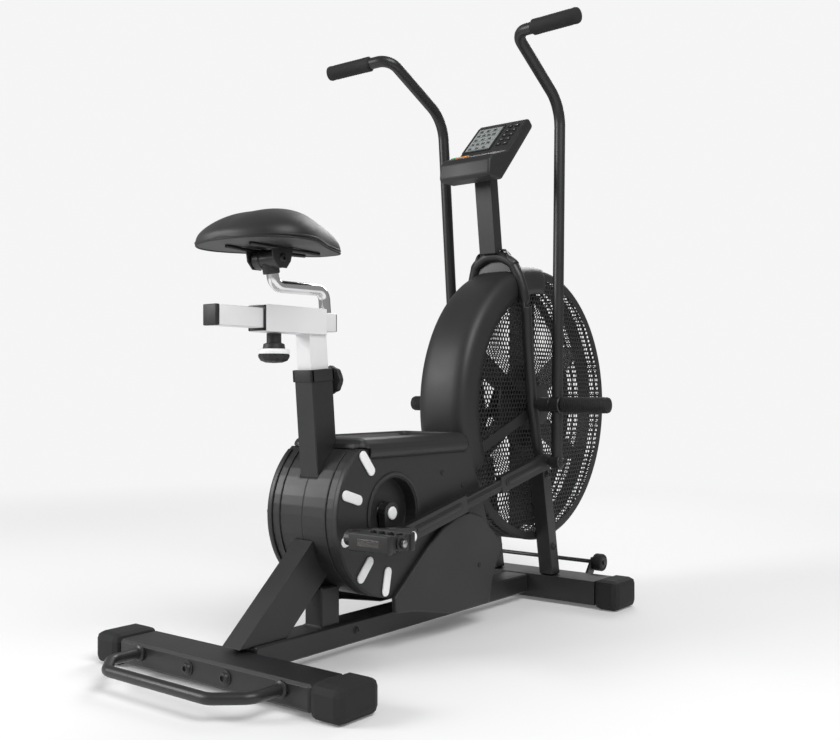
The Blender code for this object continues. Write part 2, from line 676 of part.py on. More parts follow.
SADDLE_TOP, SADDLE_RIM = 0.811, 0.746
SADDLE_REAR, SADDLE_NOSE = 0.034, 0.312
SLIDER_REAR, SLIDER_FRONT = 0.012, 0.305
SLIDER_LOW, SLIDER_HIGH = 0.6042, 0.6388
SLIDER_HALF = 0.0160
SADDLE_POST_RADIUS = 0.0110
SADDLE_POST_CORNERS = [(0, 0.291, 0.6403), (0, 0.287, 0.682), (0, 0.160, 0.680), (0, 0.1485, 0.735)]
CLAMP_Y, CLAMP_Z, CLAMP_HALF = 0.148, 0.7265, 0.030
SEAT_KNOB_Y, SEAT_KNOB_Z = 0.2893, 0.515
SLIDER_KNOB_Y = 0.1593
# (radius, distance along the axis)
SEAT_KNOB_PROFILE = [
    (0.0, 0.0), (0.0, 0.030), (0.020, 0.030), (0.0275, 0.024), (0.0275, 0.014), (0.012, 0.010), (0.012, 0.0),
]
SLIDER_KNOB_PROFILE = [
    (0.0, 0.5975), (0.013, 0.5975), (0.013, 0.579), (0.019, 0.577), (0.021, 0.566), (0.0285, 0.563),
    (0.0285, 0.553), (0.018, 0.545), (0.0, 0.5435),
]


def build_seat(up):
    post_foot = SEAT_TUBE_FOOT + up * 0.03
    post_head = SEAT_TUBE_FOOT + up * 0.236
    post = bar("seat_post", "silver_steel", post_foot, post_head, 0.0175, 0.0225)
    sleeve = box("sleeve_shape", "silver_steel", (-0.0225, 0.120, SLEEVE_LOW), (0.0225, 0.272, SLEEVE_HIGH))
    room = box(
        "sleeve_bore", "rubber", (-SLIDER_HALF - 0.0005, 0.10, SLIDER_LOW - 0.0007),
        (SLIDER_HALF + 0.0005, 0.30, SLIDER_HIGH + 0.0007),
    )
    join(post, sleeve)
    cut(post, room)
    bevel(post, 0.0012)
    slider = box(
        "slider_bar", "silver_steel", (-SLIDER_HALF, SLIDER_REAR + 0.004, SLIDER_LOW),
        (SLIDER_HALF, SLIDER_FRONT, SLIDER_HIGH), rounded=0.002,
    )
    plug = box(
        "slider_plug", "black_plastic", (-SLIDER_HALF - 0.0005, SLIDER_REAR, SLIDER_LOW - 0.0005),
        (SLIDER_HALF + 0.0005, SLIDER_REAR + 0.006, SLIDER_HIGH + 0.0005),
    )
    join(slider, plug)
    post_path = rounded_path(SADDLE_POST_CORNERS, (0.020, 0.020), 5)
    pipe("saddle_post", "chrome", post_path, SADDLE_POST_RADIUS, sides=16)
    clamp_ends = (-CLAMP_HALF, CLAMP_Y, CLAMP_Z), (CLAMP_HALF, CLAMP_Y, CLAMP_Z)
    clamp = cylinder("saddle_clamp", "black_paint", 0.0175, *clamp_ends, 16)
    neck = cylinder("clamp_room", "rubber", SADDLE_POST_RADIUS + GAP, (0, 0.1558, 0.700), (0, 0.1464, 0.7450), 16)
    cut(clamp, neck)
    saddle()
    turned("seat_knob", "black_plastic", SEAT_KNOB_PROFILE, (0, SEAT_KNOB_Y, SEAT_KNOB_Z), "Y", 24)
    turned("slider_knob", "black_plastic", SLIDER_KNOB_PROFILE, (0, SLIDER_KNOB_Y, 0), "Z", 24)


def saddle():
    """A wide saddle: a lofted cage whose half width falls from the wings to the nose, domed over a flat rim."""
    stations = [(0.00, 0.060, 0.78), (0.10, 0.099, 0.92), (0.26, 0.122, 1.0), (0.42, 0.111, 1.0),
                (0.58, 0.082, 0.93), (0.74, 0.056, 0.85), (0.90, 0.042, 0.74), (1.00, 0.026, 0.55)]
    ribs = 10
    bm = bmesh.new()
    rows = []
    for share, half, rise in stations:
        y = SADDLE_REAR + share * (SADDLE_NOSE - SADDLE_REAR)
        row = []
        for rib in range(ribs + 1):
            angle = math.pi * rib / ribs
            height = (SADDLE_TOP - SADDLE_RIM) * rise * math.sin(angle) ** 0.8
            row.append(bm.verts.new((half * math.cos(angle), y, SADDLE_RIM + height)))
        rows.append(row)
    for near, far in zip(rows, rows[1:]):
        for i in range(ribs):
            bm.faces.new((near[i], near[i + 1], far[i + 1], far[i]))
        bm.faces.new((near[ribs], near[0], far[0], far[ribs]))
    bm.faces.new(rows[0])
    bm.faces.new(rows[-1][::-1])
    bmesh.ops.recalc_face_normals(bm, faces=bm.faces)
    place("saddle", mesh_of("saddle", bm), "saddle_vinyl")


# Console

CONSOLE_HALF = 0.068
CONSOLE_OUTLINE = [(0.736, 0.962), (0.740, 1.000), (0.752, 1.013), (0.812, 1.032), (0.902, 1.122),
                   (0.922, 1.106), (0.838, 1.014), (0.790, 0.962)]
# name, finish, place across and along the lobe, half width and half length
BUTTONS = (("start_button", "orange", -0.036, 0.0, 0.015, 0.006),
           ("stop_button", "red", -0.058, 0.0068, 0.005, 0.004),
           ("mode_button", "green", -0.058, -0.0068, 0.005, 0.004))


def build_console():
    body = plate("console_body", "black_plastic", CONSOLE_OUTLINE, -CONSOLE_HALF, CONSOLE_HALF)
    bevel(body, 0.004)
    lower, upper = Vector((0, 0.812, 1.032)), Vector((0, 0.902, 1.122))
    slope = (upper - lower).normalized()
    out = Vector((0, -slope.z, slope.y))
    middle = (lower + upper) / 2
    screen_low, screen_high = middle - slope * 0.046, middle + slope * 0.046
    recess = bar("screen_recess", "rubber", screen_low - slope * 0.001, screen_high + slope * 0.001, 0.0345, 0.0025)
    recess.location.x = -0.026
    cut(body, recess)
    screen = bar("console_screen", "screen", screen_low, screen_high, 0.0335, 0.0011)
    screen.location += out * -0.0008
    screen.location.x = -0.026
    near, far = Vector((0, 0.752, 1.013)), Vector((0, 0.812, 1.032))
    along = (far - near).normalized()
    up = Vector((0, -along.z, along.y))
    for name, finish, x, shift, half_x, half_y in BUTTONS:
        centre = near + (far - near) * 0.55 + along * shift
        pocket = bar(
            f"{name}_pocket", "rubber", centre - along * (half_y + 0.0005), centre + along * (half_y + 0.0005),
            half_x + 0.0005, 0.0040,
        )
        pocket.location.x = x
        cut(body, pocket)
        button = bar(name, finish, centre - along * half_y, centre + along * half_y, half_x, 0.0018)
        button.location += up * 0.0005
        button.location.x = x


# Transport wheels


def wheel_carrier():
    """The shapes welded to the front stabiliser for the wheels: a strip, two ears and a fixed axle."""
    parts = [
        box("wheel_strip", "black_paint", (-0.138, FRONT_TUBE[1][1] - 0.004, 0.030), (0.138, 1.052, 0.056)),
        cylinder(
            "wheel_axle", "raw_steel", 0.005, (-0.166, WHEEL_Y, WHEEL_Z), (0.166, WHEEL_Y, WHEEL_Z), 12
        ),
    ]
    for side in (1, -1):
        ear = [(1.046, 0.032), (1.046, 0.055), (1.078, 0.094), (1.094, 0.094), (1.096, 0.076), (1.060, 0.032)]
        parts.append(plate(f"ear_{side}", "black_paint", ear, *sorted((side * 0.132, side * 0.138))))
    return parts


def build_wheels():
    for side, word in ((1, "right"), (-1, "left")):
        ends = sorted((side * 0.1400, side * 0.1620))
        ring(f"transport_wheel_{word}", "rubber", 0.0054, 0.0205, *ends, WHEEL_Y, WHEEL_Z, steps=24)


def main():
    build_base()
    up = build_leg_and_seat_tube()
    build_covers()
    build_fork()
    build_crank()
    build_drive()
    build_cage()
    build_front_frame()
    build_levers_and_rods()
    build_seat(up)
    build_console()
    build_wheels()
    middle = bpy.data.objects.new("air_bike_origin", None)
    BIKE.objects.link(middle)
    for obj in list(BIKE.objects) + list(CUTTERS.objects):
        if obj is not middle:
            obj.parent = middle
    middle.location = (0, -(REAR_END + FRONT_END) / 2, 0)


main()
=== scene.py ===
import json
import math

import bmesh
import bpy
from mathutils import Matrix, Vector


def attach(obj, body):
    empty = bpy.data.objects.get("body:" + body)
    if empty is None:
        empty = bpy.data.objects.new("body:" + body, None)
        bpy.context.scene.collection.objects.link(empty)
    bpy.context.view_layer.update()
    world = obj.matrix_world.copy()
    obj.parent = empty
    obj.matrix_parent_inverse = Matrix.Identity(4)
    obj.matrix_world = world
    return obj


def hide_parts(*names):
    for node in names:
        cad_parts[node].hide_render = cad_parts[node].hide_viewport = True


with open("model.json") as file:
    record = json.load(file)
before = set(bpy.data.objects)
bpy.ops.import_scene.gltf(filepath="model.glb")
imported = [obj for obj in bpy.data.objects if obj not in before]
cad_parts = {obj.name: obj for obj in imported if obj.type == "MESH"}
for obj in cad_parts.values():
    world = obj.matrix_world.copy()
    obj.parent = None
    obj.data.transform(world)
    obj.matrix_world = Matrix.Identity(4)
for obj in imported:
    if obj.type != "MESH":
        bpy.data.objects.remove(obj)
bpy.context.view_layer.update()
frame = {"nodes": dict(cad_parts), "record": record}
nodes = frame["nodes"]
print("frame loaded:", len(nodes), "nodes")

# the driving places, in metres; y is counted from the rear stabiliser's rear face
bike = {
    "middleY": 0.58885, "crank": (0.387, 0.263), "fan": (0.970, 0.460), "pivot": (0.905, 0.462),
    "rodThrow": 0.040, "pinAngle": -91.65, "crankLength": 0.166, "pedalAngle": 188.0,
    "leverArm": 0.1286, "rodLength": 0.5284, "leverX": 0.140, "coverX": 0.088,
}
sides = ((1, "right", "r", 0.0), (-1, "left", "l", 180.0))


def at(x, y, z):
    return Vector((x, y - bike["middleY"], z))


def aboutCrank(x, degrees, radius):
    angle = math.radians(degrees)
    return at(x, bike["crank"][0] + radius * math.cos(angle), bike["crank"][1] + radius * math.sin(angle))


def leverFoot(x, pin):
    # where the lever's lower pivot lies for this place of the crank's pin
    pivot = at(x, *bike["pivot"])
    across = Vector((0, pivot.y - pin.y, pivot.z - pin.z))
    distance = across.length
    along = (distance**2 + bike["rodLength"] ** 2 - bike["leverArm"] ** 2) / (2 * distance)
    off = math.sqrt(bike["rodLength"] ** 2 - along**2)
    unit = across / distance
    return Vector((x, pin.y, pin.z)) + unit * along + Vector((0, unit.z, -unit.y)) * off


# ---- materials: shared groups first, then one function for each kind of finish


def newGroup(name, inputs, outputs):
    group = bpy.data.node_groups.new(name, "ShaderNodeTree")
    for label, kind, value in inputs:
        socket = group.interface.new_socket(label, in_out="INPUT", socket_type="NodeSocket" + kind)
        socket.default_value = value
    for label, kind in outputs:
        group.interface.new_socket(label, in_out="OUTPUT", socket_type="NodeSocket" + kind)
    return group, group.nodes.new("NodeGroupInput"), group.nodes.new("NodeGroupOutput")


def grainGroup():
    # fine texture of a coated or moulded surface: colour drift, roughness drift and bump height
    group, given, made = newGroup(
        "surface grain",
        [("Base", "Color", (0.02, 0.02, 0.02, 1)), ("Second", "Color", (0.03, 0.03, 0.03, 1)),
         ("Scale", "Float", 700.0), ("Rough Low", "Float", 0.35), ("Rough High", "Float", 0.55)],
        [("Color", "Color"), ("Roughness", "Float"), ("Height", "Float")],
    )
    n, link = group.nodes, group.links.new
    place = n.new("ShaderNodeTexCoord")
    fine = n.new("ShaderNodeTexNoise")
    fine.inputs["Detail"].default_value = 3
    broad = n.new("ShaderNodeTexNoise")
    broad.inputs["Scale"].default_value = 7
    broad.inputs["Detail"].default_value = 5
    mix = n.new("ShaderNodeMix")
    mix.data_type = "RGBA"
    spread = n.new("ShaderNodeMapRange")
    link(place.outputs["Object"], fine.inputs["Vector"])
    link(place.outputs["Object"], broad.inputs["Vector"])
    link(given.outputs["Scale"], fine.inputs["Scale"])
    link(broad.outputs["Fac"], mix.inputs["Factor"])
    link(given.outputs["Base"], mix.inputs["A"])
    link(given.outputs["Second"], mix.inputs["B"])
    link(broad.outputs["Fac"], spread.inputs["Value"])
    spread.inputs["From Min"].default_value = 0.3
    spread.inputs["From Max"].default_value = 0.7
    link(given.outputs["Rough Low"], spread.inputs["To Min"])
    link(given.outputs["Rough High"], spread.inputs["To Max"])
    link(mix.outputs["Result"], made.inputs["Color"])
    link(spread.outputs["Result"], made.inputs["Roughness"])
    link(fine.outputs["Fac"], made.inputs["Height"])
    return group


def edgeLightGroup():
    # painted edge light and shade: every rounded edge is painted towards the edge tone, paler on the dark
    # finishes and darker on white plastic, broken into patches by noise; a mask from how far a rounded
    # normal leans off
    group, given, made = newGroup(
        "painted edge light and shade",
        [("Color", "Color", (0.02, 0.02, 0.02, 1)), ("Edge Light Tone", "Color", (0.09, 0.09, 0.09, 1)),
         ("Radius", "Float", 0.002), ("Amount", "Float", 0.5)],
        [("Color", "Color"), ("Mask", "Float")],
    )
    n, link = group.nodes, group.links.new
    rounded = n.new("ShaderNodeBevel")
    rounded.samples = 4
    geometry = n.new("ShaderNodeNewGeometry")
    lean = n.new("ShaderNodeVectorMath")
    lean.operation = "DOT_PRODUCT"
    edge = n.new("ShaderNodeMapRange")
    edge.inputs["From Min"].default_value = 0.995
    edge.inputs["From Max"].default_value = 0.86
    patch = n.new("ShaderNodeTexNoise")
    patch.inputs["Scale"].default_value = 38
    times = n.new("ShaderNodeMath")
    times.operation = "MULTIPLY"
    amount = n.new("ShaderNodeMath")
    amount.operation = "MULTIPLY"
    mix = n.new("ShaderNodeMix")
    mix.data_type = "RGBA"
    link(given.outputs["Radius"], rounded.inputs["Radius"])
    link(rounded.outputs["Normal"], lean.inputs[0])
    link(geometry.outputs["Normal"], lean.inputs[1])
    link(lean.outputs["Value"], edge.inputs["Value"])
    link(edge.outputs["Result"], times.inputs[0])
    link(patch.outputs["Fac"], times.inputs[1])
    link(times.outputs["Value"], amount.inputs[0])
    link(given.outputs["Amount"], amount.inputs[1])
    link(amount.outputs["Value"], mix.inputs["Factor"])
    link(given.outputs["Color"], mix.inputs["A"])
    link(given.outputs["Edge Light Tone"], mix.inputs["B"])
    link(mix.outputs["Result"], made.inputs["Color"])
    link(amount.outputs["Value"], made.inputs["Mask"])
    return group


grain = grainGroup()
# the group that paints light and shade onto every edge
paintedEdgeLight = edgeLightGroup()


def finish(name, look):
    # one material: grain, painted edge light and shade, rounded normal and bump, all from the values in look
    made = bpy.data.materials.new(name)
    made.use_nodes = True
    n, link = made.node_tree.nodes, made.node_tree.links.new
    shader = n["Principled BSDF"]
    coat = n.new("ShaderNodeGroup")
    coat.node_tree = grain
    edgeLightNode = n.new("ShaderNodeGroup")
    edgeLightNode.node_tree = paintedEdgeLight
    base = look["color"]
    coat.inputs["Base"].default_value = (*base, 1)
    coat.inputs["Second"].default_value = (*look.get("second", [min(1, c * 1.5) for c in base]), 1)
    coat.inputs["Scale"].default_value = look.get("scale", 700)
    low, high = look["rough"]
    coat.inputs["Rough Low"].default_value = low
    coat.inputs["Rough High"].default_value = high
    # painted edge light and shade: the edge tone (paler on the dark finishes, darker on white plastic), its
    # radius and its amount
    edgeLightNode.inputs["Edge Light Tone"].default_value = (*look.get("edgeLightTone", [c * 2.2 + 0.02 for c in base]), 1)
    edgeLightNode.inputs["Radius"].default_value = look.get("edge", 0.0015)
    edgeLightNode.inputs["Amount"].default_value = look.get("paintedEdgeLight", 0.6)
    link(coat.outputs["Color"], edgeLightNode.inputs["Color"])
    link(edgeLightNode.outputs["Color"], shader.inputs["Base Color"])
    link(coat.outputs["Roughness"], shader.inputs["Roughness"])
    soft = n.new("ShaderNodeBevel")
    soft.samples = 4
    soft.inputs["Radius"].default_value = look.get("edge", 0.0015)
    bump = n.new("ShaderNodeBump")
    bump.inputs["Strength"].default_value = look.get("bump", 0.15)
    bump.inputs["Distance"].default_value = look.get("depth", 0.0004)
    link(soft.outputs["Normal"], bump.inputs["Normal"])
    link(coat.outputs["Height"], bump.inputs["Height"])
    link(bump.outputs["Normal"], shader.inputs["Normal"])
    shader.inputs["Metallic"].default_value = look.get("metal", 0)
    shader.inputs["Specular IOR Level"].default_value = look.get("specular", 0.5)
    shader.inputs["Coat Weight"].default_value = look.get("coat", 0)
    shader.inputs["Coat Roughness"].default_value = 0.25
    shader.inputs["Sheen Weight"].default_value = look.get("sheen", 0)
    return made


def addPattern(made, kind, scale, strength, depth):
    # a second bump over the grain: ribs as waves, or leather cells as a voronoi
    n, link = made.node_tree.nodes, made.node_tree.links.new
    shader = n["Principled BSDF"]
    below = shader.inputs["Normal"].links[0].from_socket
    place = n.new("ShaderNodeTexCoord")
    if kind == "ribs":
        texture = n.new("ShaderNodeTexWave")
        texture.bands_direction = "X"
        out = texture.outputs["Fac"]
    else:
        texture = n.new("ShaderNodeTexVoronoi")
        texture.feature = "DISTANCE_TO_EDGE"
        out = texture.outputs["Distance"]
    texture.inputs["Scale"].default_value = scale
    bump = n.new("ShaderNodeBump")
    bump.inputs["Strength"].default_value = strength
    bump.inputs["Distance"].default_value = depth
    link(place.outputs["Object"], texture.inputs["Vector"])
    link(out, bump.inputs["Height"])
    link(below, bump.inputs["Normal"])
    link(bump.outputs["Normal"], shader.inputs["Normal"])
    return made


# the edge tone and its amount in each look set the painted edge light and shade: paler edges on the dark
# finishes, darker edges on white plastic
looks = {
    "black_paint": dict(color=(0.013, 0.013, 0.014), rough=(0.36, 0.50), scale=900, bump=0.12, coat=0.08),
    "black_plastic": dict(color=(0.012, 0.012, 0.0125), rough=(0.46, 0.60), scale=520, bump=0.22, paintedEdgeLight=0.4),
    "housing_plastic": dict(
        color=(0.015, 0.015, 0.0155), rough=(0.40, 0.54), scale=620, bump=0.2, edge=0.004),
    "rubber": dict(color=(0.008, 0.008, 0.008), rough=(0.68, 0.85), scale=1300, bump=0.35, edge=0.002),
    "perforated_steel": dict(color=(0.014, 0.014, 0.015), rough=(0.42, 0.56), scale=800, bump=0.1, paintedEdgeLight=0.3),
    "fan_steel": dict(color=(0.020, 0.020, 0.021), rough=(0.45, 0.6), scale=600, bump=0.1, paintedEdgeLight=0.3),
    "silver_paint": dict(
        color=(0.80, 0.80, 0.805), second=(0.86, 0.86, 0.87), rough=(0.34, 0.46), scale=1500, bump=0.06,
        metal=0.1, edgeLightTone=(0.9, 0.9, 0.9)),
    "chrome": dict(
        color=(0.78, 0.78, 0.79), second=(0.82, 0.82, 0.82), rough=(0.07, 0.14), scale=400, bump=0.01,
        metal=1, edgeLightTone=(0.85, 0.85, 0.85)),
    "raw_steel": dict(
        color=(0.36, 0.36, 0.37), second=(0.45, 0.45, 0.45), rough=(0.25, 0.4), scale=1600, bump=0.08,
        metal=1, edgeLightTone=(0.6, 0.6, 0.6)),
    "saddle_vinyl": dict(
        color=(0.010, 0.010, 0.0105), rough=(0.42, 0.56), scale=1100, bump=0.2, paintedEdgeLight=0.2, sheen=0.05,
        edge=0.001),
    "white_plastic": dict(
        color=(0.95, 0.95, 0.95), second=(0.90, 0.90, 0.90), rough=(0.3, 0.42), scale=500, bump=0.05,
        edgeLightTone=(0.6, 0.6, 0.6), paintedEdgeLight=0.3),
    "screen_glass": dict(
        color=(0.30, 0.335, 0.325), second=(0.34, 0.37, 0.36), rough=(0.10, 0.16), scale=200, bump=0.0,
        coat=0.6, edgeLightTone=(0.4, 0.4, 0.4), paintedEdgeLight=0.1),
    "screen_ink": dict(color=(0.045, 0.05, 0.05), rough=(0.3, 0.4), scale=300, bump=0.0, paintedEdgeLight=0),
    "orange_key": dict(
        color=(0.80, 0.27, 0.02), second=(0.86, 0.33, 0.04), rough=(0.4, 0.5), scale=700, bump=0.1,
        edgeLightTone=(0.9, 0.5, 0.2)),
    "red_key": dict(color=(0.45, 0.02, 0.02), rough=(0.4, 0.5), bump=0.1),
    "green_key": dict(color=(0.03, 0.26, 0.08), rough=(0.4, 0.5), bump=0.1),
    "belt_rubber": dict(color=(0.012, 0.012, 0.012), rough=(0.6, 0.8), bump=0.3),
    "reflector": dict(
        color=(0.030, 0.028, 0.026), second=(0.05, 0.045, 0.04), rough=(0.15, 0.25), scale=900, bump=0.3,
        coat=0.4),
}
paints = {name: finish(name, look) for name, look in looks.items()}
addPattern(paints["saddle_vinyl"], "cells", 420, 0.25, 0.0005)
addPattern(paints["belt_rubber"], "ribs", 160, 0.8, 0.001)
addPattern(paints["reflector"], "cells", 300, 0.8, 0.0008)
gripFoam = addPattern(finish("grip_foam", looks["rubber"]), "cells", 700, 0.5, 0.0006)
tyreRubber = addPattern(finish("tyre_rubber", looks["rubber"]), "ribs", 120, 0.5, 0.001)
print("materials made:", len(paints) + 2)

cadPaint = {
    "black_paint": "black_paint", "black_plastic": "black_plastic", "rubber": "rubber",
    "perforated_steel": "perforated_steel", "silver_steel": "silver_paint", "chrome": "chrome",
    "saddle_vinyl": "saddle_vinyl", "screen": "screen_glass", "orange": "orange_key", "red": "red_key",
    "green": "green_key", "belt_rubber": "belt_rubber", "raw_steel": "raw_steel",
    "white_plastic": "white_plastic",
}
housingNodes = ("right_drive_cover", "left_drive_cover", "tray_cover", "right_belt_cover", "left_belt_cover")


def paintNodes():
    for entry in frame["record"]["subparts"]:
        obj = nodes[entry["node"]]
        look = cadPaint[entry["material_slot"]]
        if entry["node"] in housingNodes:
            look = "housing_plastic"
        if entry["node"] == "fan_wheel":
            look = "fan_steel"
        obj.data.materials.clear()
        obj.data.materials.append(paints[look])
        obj.data.shade_smooth()
        obj.data.set_sharp_from_angle(angle=math.radians(32))


paintNodes()


# ---- mesh helpers


def piece(name, data, paint, body, *replaced, slot=None):
    obj = bpy.data.objects.new(name, data)
    bpy.context.scene.collection.objects.link(obj)
    data.materials.append(paints.get(paint) if isinstance(paint, str) else paint)
    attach(obj, body)
    if replaced:
        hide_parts(*replaced)
    return obj


def smoothMesh(name, bm, angle=35):
    made = bpy.data.meshes.new(name)
    bmesh.ops.recalc_face_normals(bm, faces=bm.faces)
    bm.to_mesh(made)
    bm.free()
    made.shade_smooth()
    made.set_sharp_from_angle(angle=math.radians(angle))
    return made


def roundedPath(corners, radii, steps=10):
    points = [Vector(corners[0])]
    for before, corner, after, radius in zip(corners, corners[1:], corners[2:], radii):
        before, corner, after = Vector(before), Vector(corner), Vector(after)
        back, ahead = (before - corner).normalized(), (after - corner).normalized()
        half = back.angle(ahead) / 2
        reach = radius / math.tan(half)
        centre = corner + (back + ahead).normalized() * (radius / math.sin(half))
        first, last = corner + back * reach - centre, corner + ahead * reach - centre
        turn = first.rotation_difference(last)
        for step in range(steps + 1):
            part = turn.copy()
            part.angle = turn.angle * step / steps
            points.append(centre + part @ first)
    points.append(Vector(corners[-1]))
    return points


def tube(name, points, radius, paint, body, *replaced, slot=None):
    curve = bpy.data.curves.new(name, "CURVE")
    curve.dimensions = "3D"
    curve.bevel_depth = radius
    curve.bevel_resolution = 6
    curve.use_fill_caps = True
    spline = curve.splines.new("POLY")
    spline.points.add(len(points) - 1)
    for target, point in zip(spline.points, points):
        target.co = (*point, 1)
    spline.use_smooth = True
    return piece(name, curve, paint, body, *replaced, slot=slot)


def lathe(name, profile, centre, axis, paint, body, *replaced, steps=40, slot=None, lobes=0, lobeDepth=0.0):
    # (radius, height) profile turned about axis through centre; lobes scallop the wide part of a knob
    turn = Vector((0, 0, 1)).rotation_difference(Vector(axis).normalized())
    bm = bmesh.new()
    rings = []
    widest = max(radius for radius, height in profile)
    closed = profile[0] == profile[-1]
    for radius, height in profile[:-1] if closed else profile:
        if radius < 1e-6:
            rings.append([bm.verts.new(Vector(centre) + turn @ Vector((0, 0, height)))])
            continue
        ring = []
        for step in range(steps):
            angle = 2 * math.pi * step / steps
            scalloped = lobes and radius > widest * 0.85
            dip = lobeDepth * (0.5 - 0.5 * math.cos(lobes * angle)) if scalloped else 0
            flat = Vector((math.cos(angle), math.sin(angle), 0)) * (radius - dip)
            ring.append(bm.verts.new(Vector(centre) + turn @ (flat + Vector((0, 0, height)))))
        rings.append(ring)
    for low, high in zip(rings, rings[1:] + rings[:1] if closed else rings[1:]):
        for i in range(max(len(low), len(high))):
            a, b = low[i % len(low)], low[(i + 1) % len(low)]
            c, d = high[(i + 1) % len(high)], high[i % len(high)]
            corners = [v for k, v in enumerate((a, b, c, d)) if v not in (a, b, c, d)[:k]]
            bm.faces.new(corners)
    for ring in () if closed else (rings[0], rings[-1]):
        if len(ring) > 1:
            bm.faces.new(ring)
    return piece(name, smoothMesh(name, bm), paint, body, *replaced, slot=slot)


def slab(name, outline, xLow, xHigh, rim, paint, body, *replaced, slot=None, place=None):
    # an outline of (y, z) points given a thickness along x, its edges rounded by rim
    bm = bmesh.new()
    low = [bm.verts.new((xLow, y, z)) for y, z in outline]
    high = [bm.verts.new((xHigh, y, z)) for y, z in outline]
    bm.faces.new(low)
    bm.faces.new(high)
    for i in range(len(outline)):
        j = (i + 1) % len(outline)
        bm.faces.new((low[i], low[j], high[j], high[i]))
    bmesh.ops.recalc_face_normals(bm, faces=bm.faces)
    flat = [e for e in bm.edges if abs(e.verts[0].co.x - e.verts[1].co.x) < 1e-7]
    bmesh.ops.bevel(bm, geom=flat, offset=rim, segments=3, profile=0.5, affect="EDGES")
    if place:
        bmesh.ops.transform(bm, matrix=place, verts=bm.verts)
    return piece(name, smoothMesh(name, bm), paint, body, *replaced, slot=slot)


def block(name, low, high, rim, paint, body, *replaced, slot=None, place=None):
    bm = bmesh.new()
    bmesh.ops.create_cube(bm, size=1)
    low, high = Vector(low), Vector(high)
    bmesh.ops.scale(bm, vec=high - low, verts=bm.verts)
    bmesh.ops.translate(bm, vec=(low + high) / 2, verts=bm.verts)
    bmesh.ops.bevel(bm, geom=list(bm.edges), offset=rim, segments=3, profile=0.5, affect="EDGES")
    if place:
        bmesh.ops.transform(bm, matrix=place, verts=bm.verts)
    return piece(name, smoothMesh(name, bm), paint, body, *replaced, slot=slot)


def arcPoints(centre, radius, start, end, steps):
    return [
        (centre[0] + radius * math.cos(math.radians(start + (end - start) * i / steps)),
         centre[1] + radius * math.sin(math.radians(start + (end - start) * i / steps)))
        for i in range(steps + 1)
    ]


def lozenge(start, end, half, steps=10):
    lean = math.degrees(math.atan2(end.z - start.z, end.y - start.y))
    return arcPoints((start.y, start.z), half, lean + 90, lean + 270, steps) + arcPoints(
        (end.y, end.z), half, lean - 90, lean + 90, steps
    )


def bolt(name, centre, axis, radius, body, paint="black_paint"):
    # a washer and a domed head with a hex socket's dished middle
    profile = [
        (0, 0), (radius * 1.35, 0), (radius * 1.35, radius * 0.16), (radius * 1.02, radius * 0.22),
        (radius, radius * 0.5), (radius * 0.82, radius * 0.74), (radius * 0.5, radius * 0.84),
        (radius * 0.46, radius * 0.5), (0, radius * 0.46),
    ]
    return lathe(name, profile, centre, axis, paint, body, steps=24)


# ---- arms, hoop and handle


